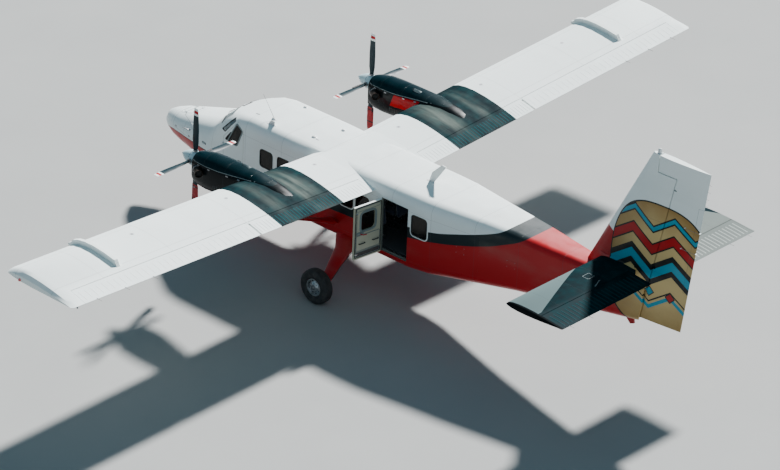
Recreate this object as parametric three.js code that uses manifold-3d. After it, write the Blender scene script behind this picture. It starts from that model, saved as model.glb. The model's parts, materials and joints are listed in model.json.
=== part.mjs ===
// A high-wing twin-turboprop commuter airliner on fixed tricycle gear, in millimetres.
// X runs to port, Y aft and Z up. Stations are measured aft from the tip of the nose.
// The last group puts the origin under the middle of the aeroplane, at ground level.
import * as THREE from 'three';
import { mergeVertices } from 'three/addons/utils/BufferGeometryUtils.js';
import Module from 'manifold-3d';

const wasm = await Module();
wasm.setup();

// Overall sizes and fits
const LENGTH = 15770;
const SPAN = 19810;
const TOUCH = 0.3;
const RUNNING_GAP = 8;
const END_GAP = 6;
const MERGE = 0.001;
const FAR = 20000;
const radians = THREE.MathUtils.degToRad;

// Fuselage shell
const WALL = 50;
const CORNER_STEPS = 4;
const FLOOR_TOP = 1320;
const FLOOR_THICKNESS = 45;
const NOSE_JOIN = 2050;
const TAIL_JOIN = 10200;
const TAIL_WALL = 40;
const TAIL_HOLLOW_END = 13950;

// Each row is station, half width, bottom, top, and the corner radii above and below.
const NOSE_SECTIONS = [
  [0, 30, 1440, 1560, 29, 29],
  [50, 65, 1395, 1635, 64, 64],
  [150, 150, 1360, 1800, 148, 148],
  [300, 280, 1345, 1890, 265, 255],
  [500, 400, 1330, 1950, 305, 305],
  [800, 520, 1310, 2015, 350, 350],
  [1200, 630, 1270, 2120, 420, 410],
  [1650, 715, 1210, 2245, 470, 400],
  [NOSE_JOIN, 780, 1150, 2360, 500, 350],
];
const CABIN_SECTIONS = [
  NOSE_SECTIONS.at(-1),
  [2120, 788, 1140, 2395, 520, 345],
  [2500, 825, 1110, 2760, 570, 310],
  [2750, 850, 1090, 2840, 430, 280],
  [3050, 870, 1080, 2915, 290, 260],
  [3400, 870, 1080, 2965, 260, 260],
  [5000, 870, 1080, 2970, 260, 260],
  [5700, 870, 1080, 2950, 260, 260],
  [8300, 870, 1100, 2950, 260, 260],
  [8850, 850, 1160, 2950, 260, 260],
  [TAIL_JOIN, 650, 1380, 2940, 230, 230],
];
const TAIL_SECTIONS = [
  [TAIL_JOIN, 650, 1380, 2940, 230],
  [11100, 535, 1540, 2925, 200],
  [12550, 350, 1740, 2860, 160],
  [14330, 150, 1985, 2800, 110],
];

// Wing
const WING_EDGE = 5351;
const WING_HEIGHT = 2755;
const WING_CHORD = 1980;
const WING_THICKNESS = 0.16;
const WING_CAMBER = 0.02;
const DIHEDRAL = radians(3);
const INCIDENCE = radians(2.5);
const WING_ROOT = 870;
const WING_HINGE = 1540;
const FLAP_SPAN = [956, 4384];
const AILERON_SPAN = [4436, 9544];
const PIN_RADIUS = 15;
const PIN_HOLE = 15.8;
const PIN_DEPTH = 50;
const FENCE_AT = 8050;
const FENCE_HEIGHT = 115;
const FENCE_WIDTH = 90;
const FENCE_END = 1440;

// Nacelle and propeller
const ENGINE_X = 2827;
const ENGINE_Z = 2831;
const PROP_STATION = 3745;
const PROP_RADIUS = 1220;
const SPINNER_RADIUS = 175;
const SPINNER_LENGTH = 420;
const SPINNER_EDGE = 60;
const SPINNER_BACK = 90;
const SPINNER_POINT = 1.7;
const SHAFT_RADIUS = 45;
const SHAFT_SIDES = 24;
const COWL_WALL = 40;
const COWL_HALF_WIDTH = 330;
const ENGINE_MOUNT = 4750;
const ENGINE_RADIUS = 235;
const COWL_FRONT = 3850;
const FRONT_WALL = 45;
// Each row is station, half width, bottom, top, corner radius.
const NACELLE_SECTIONS = [
  [COWL_FRONT, 225, 2335, 3045, 220],
  [4000, 275, 2290, 3100, 250],
  [4300, 320, 2285, 3150, 280],
  [4600, COWL_HALF_WIDTH, 2305, 3165, 290],
  [5100, COWL_HALF_WIDTH, 2420, 3170, 290],
  [5700, 320, 2560, 3160, 260],
  [6300, 260, 2700, 3075, 185],
  [6840, 130, 2800, 2935, 65],
];

// Tail
const FIN_THICKNESS = 0.11;
const TAILPLANE_EDGE = 13130;
const TAILPLANE_CHORD = 1540;
const TAILPLANE_THICKNESS = 0.11;
const TAILPLANE_HEIGHT = 3095;
const TAILPLANE_HALF_SPAN = 3150;
const TAILPLANE_ROOT = 160;
const ELEVATOR_HINGE = 940;
const ELEVATOR_SPAN = [306, 3094];
// Each row is height, leading edge, rudder hinge, trailing edge.
const FIN_SECTIONS = [
  [2080, 12296, 14286, 15288],
  [5950, 14255, 15049, 15770],
];
const HORN_FRONT = 14475;
const HORN_BOTTOM = 5580;
const HORN_GAP = 25;
const RUDDER_NOSE = [106, 69];

// Landing gear
const TYRE_SIDES = 28;
const MAIN_WHEEL = { x: 1855, y: 6600, radius: 412, width: 270, rim: 205, axle: 32 };
const NOSE_WHEEL = { x: 0, y: 2070, radius: 345, width: 215, rim: 165, axle: 22 };
const KNUCKLE_X = 1600;

// Cabin windows, measured on each side
const WINDOW_STATIONS = [3820, 4360, 4842, 5324, 5806, 6288, 6770];
const WINDOW_SIZE = [400, 440];
const WINDOW_BOTTOM = 1995;
const WINDOW_CORNER = 90;
const REAR_WINDOW = [8420, 8860];

// Cockpit glass: the windshield seen from above, from the middle outwards, and the rest
// seen from port
const WINDSHIELD = [[35, 2165], [680, 2430], [560, 2670], [35, 2480]];
const SIDE_PANE = [[2560, 2440], [2680, 2420], [2975, 2775], [2895, 2805]];
const CREW_WINDOWS = [
  [[2815, 2240], [3085, 2240], [3250, 2640], [3080, 2730]],
  [[2705, 2255], [2770, 2245], [2905, 2505]],
];

// Door outlines seen from port: station and height, with the hinge on the first edge.
const CABIN_DOOR_PORT = [[7540, 1325], [8320, 1325], [8320, 2620], [7540, 2620]];
const CABIN_DOOR_STARBOARD = [[7580, 1325], [8290, 1325], [8290, 2500], [7580, 2500]];
const CREW_DOOR = [[2640, 1420], [3300, 1420], [3300, 2690], [3090, 2800], [2640, 2290]];
const HINGE_OFFSET = [20, -12];
const HINGE_TUBE = 11;
const DOOR_GAP = 6;
const DOOR_OPEN = radians(97);

// Materials
function paint(color, roughness = 0.35, metalness = 0) {
  return new THREE.MeshStandardMaterial({ color, roughness, metalness });
}
const white = paint(0xf0efe9);
const red = paint(0xb01c20);
const dark = paint(0x1c2a2e);
const interior = paint(0x8d9486, 0.7);
const trim = paint(0x2b2d30, 0.7);
const cushion = paint(0x3b4a5e, 0.9);
const alloy = paint(0xa8abad, 0.35, 0.9);
const steel = paint(0x5c5f63, 0.4, 0.9);
const rubber = paint(0x1b1b1c, 0.85);
const glass = new THREE.MeshStandardMaterial({ color: 0x2e3b42, roughness: 0.05, opacity: 0.4 });

// Solids in and out of the boolean kernel
function solid(geometry) {
  const bare = geometry.index ? geometry.toNonIndexed() : geometry.clone();
  bare.deleteAttribute('normal');
  bare.deleteAttribute('uv');
  const merged = mergeVertices(bare, MERGE);
  const index = Array.from(merged.index.array);
  const points = merged.attributes.position.array;
  return new wasm.Manifold(new wasm.Mesh({
    numProp: 3,
    vertProperties: new Float32Array(points),
    triVerts: new Uint32Array(outwardFaces(points, index)),
  }));
}

function outwardFaces(points, index) {
  const corner = (i) => new THREE.Vector3().fromArray(points, 3 * index[i]);
  let volume = 0;
  for (let i = 0; i < index.length; i += 3) {
    volume += corner(i).dot(corner(i + 1).cross(corner(i + 2)));
  }
  return volume < 0 ? index.reverse() : index;
}

function surface(body) {
  const mesh = body.getMesh();
  const geometry = new THREE.BufferGeometry();
  geometry.setAttribute('position', new THREE.BufferAttribute(mesh.vertProperties, 3));
  geometry.setIndex(new THREE.BufferAttribute(mesh.triVerts, 1));
  return geometry;
}

function mirrored(geometry) {
  const copy = geometry.clone().scale(-1, 1, 1);
  const index = copy.index.array;
  for (let i = 0; i < index.length; i += 3) {
    [index[i + 1], index[i + 2]] = [index[i + 2], index[i + 1]];
  }
  return copy;
}

function join(bodies) {
  return bodies.reduce((sum, body) => sum.add(body));
}

function box(low, high) {
  const size = high.map((value, i) => value - low[i]);
  const geometry = new THREE.BoxGeometry(...size);
  geometry.translate(...low.map((value, i) => value + size[i] / 2));
  return solid(geometry);
}

function rod(start, end, radius, sides = 12, endRadius = radius) {
  const from = new THREE.Vector3(...start);
  const to = new THREE.Vector3(...end);
  const along = to.clone().sub(from);
  const geometry = new THREE.CylinderGeometry(endRadius, radius, along.length(), sides);
  const turn = new THREE.Quaternion().setFromUnitVectors(
    new THREE.Vector3(0, 1, 0),
    along.clone().normalize(),
  );
  geometry.applyQuaternion(turn);
  geometry.translate(...from.add(to).multiplyScalar(0.5).toArray());
  return solid(geometry);
}

// Lofts: every ring is a list of as many [x, y, z] points
function flatten(ring) {
  const normal = new THREE.Vector3();
  ring.forEach((p, i) => {
    const q = ring[(i + 1) % ring.length];
    normal.x += (p[1] - q[1]) * (p[2] + q[2]);
    normal.y += (p[2] - q[2]) * (p[0] + q[0]);
    normal.z += (p[0] - q[0]) * (p[1] + q[1]);
  });
  const size = normal.toArray().map(Math.abs);
  const drop = size.indexOf(Math.max(...size));
  const kept = [0, 1, 2].filter((axis) => axis !== drop);
  return ring.map((p) => new THREE.Vector2(p[kept[0]], p[kept[1]]));
}

function capFaces(ring) {
  const flat = flatten(ring);
  const winding = Math.sign(THREE.ShapeUtils.area(flat));
  return THREE.ShapeUtils.triangulateShape(flat, []).map((face) => {
    const side = Math.sign(THREE.ShapeUtils.area(face.map((i) => flat[i])));
    return side === winding ? face : [face[0], face[2], face[1]];
  });
}

function loft(rings) {
  const count = rings[0].length;
  const faces = [];
  for (let i = 0; i + 1 < rings.length; i += 1) {
    for (let j = 0; j < count; j += 1) {
      const [a, b] = [i * count + j, i * count + ((j + 1) % count)];
      faces.push([a, b, b + count], [a, b + count, a + count]);
    }
  }
  const last = (rings.length - 1) * count;
  capFaces(rings[0]).forEach(([a, b, c]) => faces.push([a, c, b]));
  capFaces(rings.at(-1)).forEach(([a, b, c]) => faces.push([a + last, b + last, c + last]));
  const geometry = new THREE.BufferGeometry();
  geometry.setAttribute('position', new THREE.Float32BufferAttribute(rings.flat(2), 3));
  geometry.setIndex(faces.flat());
  return geometry;
}

// A prism of a flat outline of [y, z] points between two X values
function sidePrism(outline, from, to) {
  const ring = (x) => outline.map(([y, z]) => [x, y, z]);
  return solid(loft([ring(from), ring(to)]));
}

// A prism of a flat outline of [x, y] points between two heights
function planPrism(outline, from, to) {
  const ring = (z) => outline.map(([x, y]) => [x, y, z]);
  return solid(loft([ring(from), ring(to)]));
}

function roundedOutline(centre, half, radiusAbove, steps, radiusBelow = radiusAbove) {
  const points = [];
  const corners = [[1, 1, 0], [-1, 1, 1], [-1, -1, 2], [1, -1, 3]];
  corners.forEach(([sideU, sideV, quarter]) => {
    const radius = sideV > 0 ? radiusAbove : radiusBelow;
    for (let i = 0; i <= steps; i += 1) {
      const angle = (quarter + i / steps) * Math.PI / 2;
      points.push([
        centre[0] + sideU * (half[0] - radius) + radius * Math.cos(angle),
        centre[1] + sideV * (half[1] - radius) + radius * Math.sin(angle),
      ]);
    }
  });
  return points;
}

// Moves every edge of a convex outline inwards by a distance
function inset(outline, distance) {
  const turn = Math.sign(THREE.ShapeUtils.area(outline.map((p) => new THREE.Vector2(...p))));
  const lines = outline.map((p, i) => {
    const q = outline[(i + 1) % outline.length];
    const along = new THREE.Vector2(q[0] - p[0], q[1] - p[1]).normalize();
    const inwards = new THREE.Vector2(-along.y, along.x).multiplyScalar(turn * distance);
    return { x: p[0] + inwards.x, y: p[1] + inwards.y, along };
  });
  return lines.map((line, i) => {
    const before = lines.at(i - 1);
    const cross = before.along.x * line.along.y - before.along.y * line.along.x;
    const reach = ((line.x - before.x) * line.along.y - (line.y - before.y) * line.along.x) / cross;
    return [before.x + before.along.x * reach, before.y + before.along.y * reach];
  });
}

// Fuselage bodies are lofts of rounded sections, and grow makes them larger or smaller.
function bodyOfSections(sections, grow = 0) {
  return solid(loft(sections.map(([station, half, bottom, top, above, below = above]) => {
    const centre = [0, (bottom + top) / 2];
    const size = [half + grow, (top - bottom) / 2 + grow];
    const radii = [above, below].map((radius) => Math.max(radius + grow, 1));
    return roundedOutline(centre, size, radii[0], CORNER_STEPS, radii[1])
      .map(([x, z]) => [x, station, z]);
  })));
}

function stretched(sections, before, after) {
  const [first, last] = [sections[0], sections.at(-1)];
  const start = [first[0] - before, ...first.slice(1)];
  const end = [last[0] + after, ...last.slice(1)];
  return [start, ...sections, end];
}

function sectionAt(sections, station) {
  const index = sections.findIndex((row) => row[0] >= station);
  const [before, after] = [sections[index - 1], sections[index]];
  const fraction = (station - before[0]) / (after[0] - before[0]);
  return before.map((value, i) => THREE.MathUtils.lerp(value, after[i], fraction));
}
function halfWidthAt(station) {
  return sectionAt(CABIN_SECTIONS, station)[1];
}

// Aerofoil sections
const AEROFOIL_STEPS = 10;
const CAMBER_PEAK = 0.4;
function halfThickness(fraction, thickness) {
  return 5 * thickness * (0.2969 * Math.sqrt(fraction) - 0.126 * fraction
    - 0.3516 * fraction ** 2 + 0.2843 * fraction ** 3 - 0.1015 * fraction ** 4);
}
function camberHeight(fraction, camber) {
  const front = (camber / CAMBER_PEAK ** 2) * (2 * CAMBER_PEAK * fraction - fraction ** 2);
  const rear = (camber / (1 - CAMBER_PEAK) ** 2)
    * (1 - 2 * CAMBER_PEAK + 2 * CAMBER_PEAK * fraction - fraction ** 2);
  return fraction < CAMBER_PEAK ? front : rear;
}
function aerofoil(chord, thickness, camber = 0, grow = 0) {
  const fractions = Array.from(
    { length: AEROFOIL_STEPS + 1 },
    (_, i) => (1 - Math.cos((Math.PI * i) / AEROFOIL_STEPS)) / 2,
  );
  const point = (fraction, side) => {
    const lead = fraction === 0 ? -grow : fraction * chord + (fraction === 1 ? grow : 0);
    const height = camberHeight(fraction, camber) * chord;
    return [lead, height + side * (halfThickness(fraction, thickness) * chord + grow)];
  };
  const upper = fractions.map((f) => point(f, 1)).reverse();
  const lower = fractions.slice(grow ? 0 : 1).map((f) => point(f, -1));
  return [...upper, ...lower];
}

// The hollow between the spars of a surface, as an outline of its inner walls
const FIXED_SPARS = [0.1, 0.3, 0.52];
const FIN_SPARS = [0.1, 0.3, 0.46];
const SKIN = 18;
function sparBox(chord, thickness, spars = FIXED_SPARS) {
  const wall = (fraction, side) => [
    fraction * chord,
    side * (halfThickness(fraction, thickness) * chord - SKIN),
  ];
  return [...spars.map((f) => wall(f, 1)), ...[...spars].reverse().map((f) => wall(f, -1))];
}

// The outline that frees a hinged surface: a disc on the hinge with everything aft of it.
// The lips are how far the disc's arc stops short of straight up and straight down.
function hingeOutline(hinge, height, radius, lipUp = 0, lipDown = 0) {
  const [start, end] = [Math.PI / 2 + lipUp, (3 * Math.PI) / 2 - lipDown];
  const steps = 8;
  const arc = Array.from({ length: steps + 1 }, (_, i) => {
    const angle = start + ((end - start) * i) / steps;
    return [hinge + radius * Math.cos(angle), height + radius * Math.sin(angle)];
  });
  const reach = 600;
  const lead = (lip) => hinge - (radius + reach) * Math.sin(lip);
  const above = [lead(lipUp), height + (radius + reach) * Math.cos(lipUp)];
  const below = [lead(lipDown), height - (radius + reach) * Math.cos(lipDown)];
  return [above, ...arc, below, [hinge + 2 * reach, below[1]], [hinge + 2 * reach, above[1]]];
}

// A straight hinged surface of constant section, in its own frame: X along the span from
// the root, Y along the chord from the leading edge. It returns what stays and what moves.
function hingedPanel({ chord, thickness, camber, hinge, from, to, tip, surfaces }) {
  const outline = aerofoil(chord, thickness, camber);
  const ring = (x, scale, inwards) => outline.map(([y, z]) => [
    x, inwards + y * (1 - (2 * inwards) / chord), z * scale,
  ]);
  const tipSteps = [[tip.width, 1, 0], [tip.width * 0.35, 0.8, 0], [0, 0.35, tip.width * 0.3]];
  const rings = tipSteps.map(([back, scale, inwards]) => ring(to - back, scale, inwards));
  const whole = solid(loft([ring(from, 1, 0), ...rings]));
  const axisHeight = camberHeight(hinge / chord, camber) * chord;
  const nose = 0.95 * halfThickness(hinge / chord, thickness) * chord;
  const cove = nose + RUNNING_GAP;
  const [first, last] = [surfaces[0].span[0], surfaces.at(-1).span[1]];
  let fixed = whole.subtract(sidePrism(
    [[hinge + 45, -1000], [hinge + 1500, -1000], [hinge + 1500, 1000], [hinge + 45, 1000]],
    first - END_GAP,
    last + END_GAP,
  ));
  const moving = {};
  surfaces.forEach(({ name, span, lipUp, lipDown }) => {
    const [low, high] = span;
    const room = hingeOutline(hinge, axisHeight, cove, lipUp, lipDown);
    fixed = fixed.subtract(sidePrism(room, low - END_GAP, high + END_GAP));
    const keep = sidePrism(hingeOutline(hinge, axisHeight, nose), low, high);
    const pinHole = (x) => rod(
      [x - PIN_DEPTH - END_GAP, hinge, axisHeight],
      [x + PIN_DEPTH + END_GAP, hinge, axisHeight],
      PIN_HOLE,
    );
    moving[name] = whole.intersect(keep).subtract(pinHole(low)).subtract(pinHole(high));
  });
  surfaces.forEach(({ span }) => span.forEach((x, i) => {
    const outwards = i === 0 ? -1 : 1;
    fixed = fixed.add(rod(
      [x + outwards * (END_GAP + 10), hinge, axisHeight],
      [x - outwards * PIN_DEPTH, hinge, axisHeight],
      PIN_RADIUS,
    ));
  }));
  return { fixed, moving };
}

function placed(body, matrix) {
  return solid(surface(body).applyMatrix4(matrix));
}

// Scene groups and meshes
const aeroplane = new THREE.Group();
const airframe = new THREE.Group();
airframe.position.y = -LENGTH / 2;
aeroplane.add(airframe);

function add(name, body, material, parent = airframe) {
  const geometry = body.isBufferGeometry ? body : surface(body);
  const mesh = new THREE.Mesh(geometry, material);
  mesh.name = name;
  parent.add(mesh);
  return mesh;
}

function addPair(name, body, material) {
  const geometry = surface(body);
  add(`${name}_port`, geometry, material);
  add(`${name}_starboard`, mirrored(geometry), material);
}

// Wing
const wingMatrix = new THREE.Matrix4()
  .makeTranslation(0, WING_EDGE, WING_HEIGHT)
  .multiply(new THREE.Matrix4().makeRotationY(-DIHEDRAL))
  .multiply(new THREE.Matrix4().makeRotationX(-INCIDENCE));

function wingFence() {
  const crest = aerofoil(WING_CHORD, WING_THICKNESS, WING_CAMBER)
    .slice(0, AEROFOIL_STEPS + 1)
    .filter(([y]) => y < FENCE_END)
    .map(([y, z]) => [y, z + FENCE_HEIGHT]);
  const outline = [[FENCE_END, 60], ...crest, [-90, 60], [-60, 0], [200, -20]];
  const at = FENCE_AT / Math.cos(DIHEDRAL);
  return sidePrism(outline, at - FENCE_WIDTH / 2, at + FENCE_WIDTH / 2);
}

const wingPanel = hingedPanel({
  chord: WING_CHORD,
  thickness: WING_THICKNESS,
  camber: WING_CAMBER,
  hinge: WING_HINGE,
  from: WING_ROOT - 60,
  to: SPAN / 2 / Math.cos(DIHEDRAL),
  tip: { width: 170 },
  surfaces: [
    { name: 'flap', span: FLAP_SPAN, lipUp: radians(2), lipDown: radians(24) },
    { name: 'aileron', span: AILERON_SPAN, lipUp: radians(8), lipDown: radians(8) },
  ],
});
const rootTrim = box([-FAR, 0, 0], [WING_ROOT + TOUCH, FAR, FAR]);
const wing = placed(wingPanel.fixed.add(wingFence()), wingMatrix).subtract(rootTrim);
const flap = placed(wingPanel.moving.flap, wingMatrix);
const aileron = placed(wingPanel.moving.aileron, wingMatrix);

// The centre section runs straight across the roof between the two wing roots.
function centreSection(grow) {
  const rootHeight = WING_HEIGHT + WING_ROOT * Math.tan(DIHEDRAL);
  const turn = new THREE.Matrix4()
    .makeTranslation(0, WING_EDGE, rootHeight)
    .multiply(new THREE.Matrix4().makeRotationX(-INCIDENCE));
  const outline = aerofoil(WING_CHORD, WING_THICKNESS, WING_CAMBER, grow);
  const ring = (x) => outline.map(([y, z]) => [x, y, z]);
  return solid(loft([ring(-WING_ROOT - grow), ring(WING_ROOT + grow)]).applyMatrix4(turn));
}
function plainWing(grow) {
  const outline = aerofoil(WING_CHORD, WING_THICKNESS, WING_CAMBER, grow);
  const ring = (x) => outline.map(([y, z]) => [x, y, z]);
  return solid(loft([ring(WING_ROOT), ring(6000)]).applyMatrix4(wingMatrix));
}

// Fuselage
const nose = bodyOfSections(NOSE_SECTIONS);
const cabinOuter = bodyOfSections(CABIN_SECTIONS);
const cabinInner = bodyOfSections(stretched(CABIN_SECTIONS, 10, 10), -WALL);
const cabinRoom = bodyOfSections(CABIN_SECTIONS, -WALL - TOUCH);
const tailOuter = bodyOfSections(TAIL_SECTIONS);

function windowHole(from, to, bottom, height) {
  const centre = [(from + to) / 2, bottom + height / 2];
  const outline = roundedOutline(centre, [(to - from) / 2, height / 2], WINDOW_CORNER, 3);
  return sidePrism(outline, -1200, 1200);
}

function windshieldHole(side, shrink) {
  const outline = shrink ? inset(WINDSHIELD, shrink) : WINDSHIELD;
  return planPrism(outline.map(([x, y]) => [side * x, y]), 2250, 3100);
}

function doorPrism(outline, side, gap) {
  const [near, far] = [side * 300, side * 1200];
  const edge = gap ? inset(outline, gap) : outline;
  return sidePrism(edge, Math.min(near, far), Math.max(near, far));
}

const shellRaw = cabinOuter.subtract(cabinInner);

function cabinShell() {
  let shell = shellRaw.subtract(centreSection(TOUCH));
  const [width, height] = WINDOW_SIZE;
  WINDOW_STATIONS.forEach((station) => {
    shell = shell.subtract(windowHole(station, station + width, WINDOW_BOTTOM, height));
  });
  shell = shell.subtract(windowHole(...REAR_WINDOW, 2040, 500));
  shell = shell.subtract(sidePrism(SIDE_PANE, -1200, 1200));
  [1, -1].forEach((side) => {
    shell = shell.subtract(windshieldHole(side, 0));
    shell = shell.subtract(doorPrism(CREW_DOOR, side, 0));
  });
  shell = shell.subtract(doorPrism(CABIN_DOOR_PORT, 1, 0));
  return shell.subtract(doorPrism(CABIN_DOOR_STARBOARD, -1, 0));
}

// Doors are cut out of the shell. Each turns on an upright tube just outside the skin at its
// front edge, held between two pins that stand on brackets on the fuselage.
function doorAxis(outline, side) {
  const station = outline[0][0] + HINGE_OFFSET[1];
  return [side * (halfWidthAt(outline[0][0]) + HINGE_OFFSET[0]), station];
}

function doorLeaf(outline, side, hinges, windows) {
  const [axisX, axisY] = doorAxis(outline, side);
  let leaf = shellRaw.intersect(doorPrism(outline, side, DOOR_GAP));
  windows.forEach((pane) => {
    leaf = leaf.subtract(sidePrism(pane, -1200, 1200));
  });
  const skin = axisX - side * HINGE_OFFSET[0];
  hinges.forEach(([bottom, top]) => {
    const low = [Math.min(skin - side * 20, axisX), axisY, bottom];
    const high = [Math.max(skin - side * 20, axisX), outline[0][0] + 45, top];
    const arm = box(low, high).subtract(cabinClear(side, outline[0][0] + DOOR_GAP));
    const tube = rod([axisX, axisY, bottom], [axisX, axisY, top], HINGE_TUBE, 10);
    leaf = leaf.add(arm).add(tube);
    leaf = leaf.subtract(rod([axisX, axisY, bottom - 5], [axisX, axisY, bottom + 25], 6.6, 10));
    leaf = leaf.subtract(rod([axisX, axisY, top - 25], [axisX, axisY, top + 5], 6.6, 10));
  });
  return leaf;
}

// The room kept free between a hinge arm and the skin ahead of the door's front edge
function cabinClear(side, edge) {
  const outer = bodyOfSections(CABIN_SECTIONS, END_GAP);
  return outer.intersect(box([-1200, NOSE_JOIN, 0], [1200, edge, FAR]));
}

function hingeBrackets(outline, side, hinges) {
  const [axisX, axisY] = doorAxis(outline, side);
  const skin = axisX - side * HINGE_OFFSET[0];
  return join(hinges.flatMap(([bottom, top]) => [[bottom, -1], [top, 1]].map(([z, way]) => {
    const [near, far] = [z + way * TOUCH * 2, z + way * 16];
    const plate = box(
      [Math.min(skin - side * 30, axisX + side * 12), axisY - 25, Math.min(near, far)],
      [Math.max(skin - side * 30, axisX + side * 12), axisY + 11, Math.max(near, far)],
    );
    const pin = rod([axisX, axisY, z + way * 10], [axisX, axisY, z - way * 20], 6, 10);
    return plate.add(pin);
  })));
}

const CABIN_HINGES = [[1480, 1560], [2360, 2440]];
const CREW_HINGES = [[1500, 1570], [2050, 2120]];
const doorWindow = roundedOutline([7930, 2215], [200, 220], WINDOW_CORNER, 3);

const shell = cabinShell()
  .add(hingeBrackets(CABIN_DOOR_PORT, 1, CABIN_HINGES))
  .add(hingeBrackets(CABIN_DOOR_STARBOARD, -1, CABIN_HINGES))
  .add(hingeBrackets(CREW_DOOR, 1, CREW_HINGES))
  .add(hingeBrackets(CREW_DOOR, -1, CREW_HINGES));

// Tail: the fin and the rudder come out of one tapered body, cut at the hinge line.
function finRing(fraction, outlineOf) {
  const [low, high] = FIN_SECTIONS;
  const row = low.map((value, i) => THREE.MathUtils.lerp(value, high[i], fraction));
  return outlineOf(row).map(([y, x]) => [x, y, row[0]]);
}
function finBody() {
  const section = ([, edge, , rear]) => aerofoil(rear - edge, FIN_THICKNESS)
    .map(([y, x]) => [y + edge, x]);
  return solid(loft([0, 1].map((fraction) => finRing(fraction, section))));
}
function finHollow() {
  const section = ([, edge, , rear]) => sparBox(rear - edge, FIN_THICKNESS, FIN_SPARS)
    .map(([y, x]) => [y + edge, x]);
  return solid(loft([0.05, 0.84].map((fraction) => finRing(fraction, section))));
}
function rudderHollow() {
  const section = ([, edge, hinge, rear]) => {
    const front = (hinge + 65 - edge) / (rear - edge);
    return sparBox(rear - edge, FIN_THICKNESS, [front, 0.86]).map(([y, x]) => [y + edge, x]);
  };
  return solid(loft([-0.02, 0.86].map((fraction) => finRing(fraction, section))));
}
function rudderRoom(grow, lipAngle) {
  return solid(loft([-0.1, 1.1].map((fraction) => {
    const radius = THREE.MathUtils.lerp(...RUDDER_NOSE, fraction) + grow;
    return finRing(fraction, ([, , hinge]) => hingeOutline(hinge, 0, radius, lipAngle, lipAngle));
  })));
}
const finWhole = finBody();
const hornRoom = box([-300, HORN_FRONT - HORN_GAP, HORN_BOTTOM - HORN_GAP], [300, FAR, FAR]);
const rudderCut = rudderRoom(RUNNING_GAP + 4, radians(6));
const finFairing = solid(loft([12990, 13200, 14080].map((station, i) => {
  const half = [90, TAILPLANE_ROOT - TOUCH, TAILPLANE_ROOT - TOUCH][i];
  return roundedOutline([0, TAILPLANE_HEIGHT - 60], [half, 190], 60, 2)
    .map(([x, z]) => [x, station, z]);
})));
// Each rudder hinge is a plate on the fin with a pin through it, in a slot of the rudder.
const RUDDER_HINGES = [3350, 5300];
function hingeStation(height) {
  const [low, high] = FIN_SECTIONS;
  return THREE.MathUtils.mapLinear(height, low[0], high[0], low[2], high[2]);
}
function rudderPin(height, reach, radius) {
  const at = (z) => [0, hingeStation(z), z];
  return rod(at(height - reach), at(height + reach), radius);
}
function rudderPlate(height) {
  const station = hingeStation(height);
  return box([-16, station - 130, height - 12], [16, station + 20, height + 12])
    .add(rudderPin(height, 60, PIN_RADIUS));
}
function rudderSlot(height) {
  const station = hingeStation(height);
  return box([-300, station - 300, height - 20], [300, station + 45, height + 20])
    .add(rudderPin(height, 70, PIN_HOLE));
}
const tailInner = bodyOfSections(stretched([
  ...TAIL_SECTIONS.slice(0, -1),
  sectionAt(TAIL_SECTIONS, TAIL_HOLLOW_END),
], 10, 0).slice(0, -1), -TAIL_WALL);
const tailCone = tailOuter.subtract(rudderCut).subtract(tailInner);
const tailTop = bodyOfSections(stretched(TAIL_SECTIONS, 0, 400), TOUCH);
const finBlank = finWhole
  .add(finFairing)
  .subtract(finHollow())
  .subtract(rudderCut)
  .subtract(hornRoom)
  .subtract(tailTop);
const fin = join([finBlank, ...RUDDER_HINGES.map(rudderPlate)]);
const horn = finWhole.intersect(box([-300, HORN_FRONT, HORN_BOTTOM], [300, FAR, FAR]));
const rudder = RUDDER_HINGES.reduce(
  (body, height) => body.subtract(rudderSlot(height)),
  finWhole.intersect(rudderRoom(0, 0)).subtract(rudderHollow()).add(horn),
);

// Tailplane and elevators
const tailMatrix = new THREE.Matrix4().makeTranslation(0, TAILPLANE_EDGE, TAILPLANE_HEIGHT);
const tailPanel = hingedPanel({
  chord: TAILPLANE_CHORD,
  thickness: TAILPLANE_THICKNESS,
  camber: 0,
  hinge: ELEVATOR_HINGE,
  from: TAILPLANE_ROOT,
  to: TAILPLANE_HALF_SPAN,
  tip: { width: 45 },
  surfaces: [
    { name: 'elevator', span: ELEVATOR_SPAN, lipUp: radians(10), lipDown: radians(10) },
  ],
});
const innerCut = box([-50, ELEVATOR_HINGE + 45, -500], [ELEVATOR_SPAN[0] - 1, 2000, 500]);
const tailHollow = sidePrism(
  sparBox(TAILPLANE_CHORD, TAILPLANE_THICKNESS),
  TAILPLANE_ROOT - 10,
  TAILPLANE_HALF_SPAN - 120,
);
const tailplane = tailPanel.fixed.subtract(innerCut).subtract(tailHollow);

// Nacelle: a hollow cowling that wraps the wing, open at the intake under the spinner
function nacelle() {
  const place = (body) => placed(body, new THREE.Matrix4().makeTranslation(ENGINE_X, 0, 0));
  const outer = place(bodyOfSections(NACELLE_SECTIONS));
  const [front, ...rest] = NACELLE_SECTIONS.slice(0, 5);
  const behindFront = [COWL_FRONT + FRONT_WALL, ...front.slice(1)];
  const cavity = place(bodyOfSections([behindFront, ...rest], -COWL_WALL));
  const [ahead, behind] = [COWL_FRONT - 50, COWL_FRONT + 2 * FRONT_WALL];
  const intake = box([ENGINE_X - 120, ahead, 2385], [ENGINE_X + 120, behind, 2530]);
  const shaftHole = rod([ENGINE_X, ahead, ENGINE_Z], [ENGINE_X, behind, ENGINE_Z], 60, 16);
  const exhaust = (side) => rod(
    [ENGINE_X + side * 240, 4010, 2800],
    [ENGINE_X + side * 400, 4240, 2790],
    75,
    12,
    85,
  );
  return outer
    .add(exhaust(1))
    .add(exhaust(-1))
    .subtract(cavity)
    .subtract(intake)
    .subtract(shaftHole)
    .subtract(plainWing(TOUCH));
}

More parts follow.
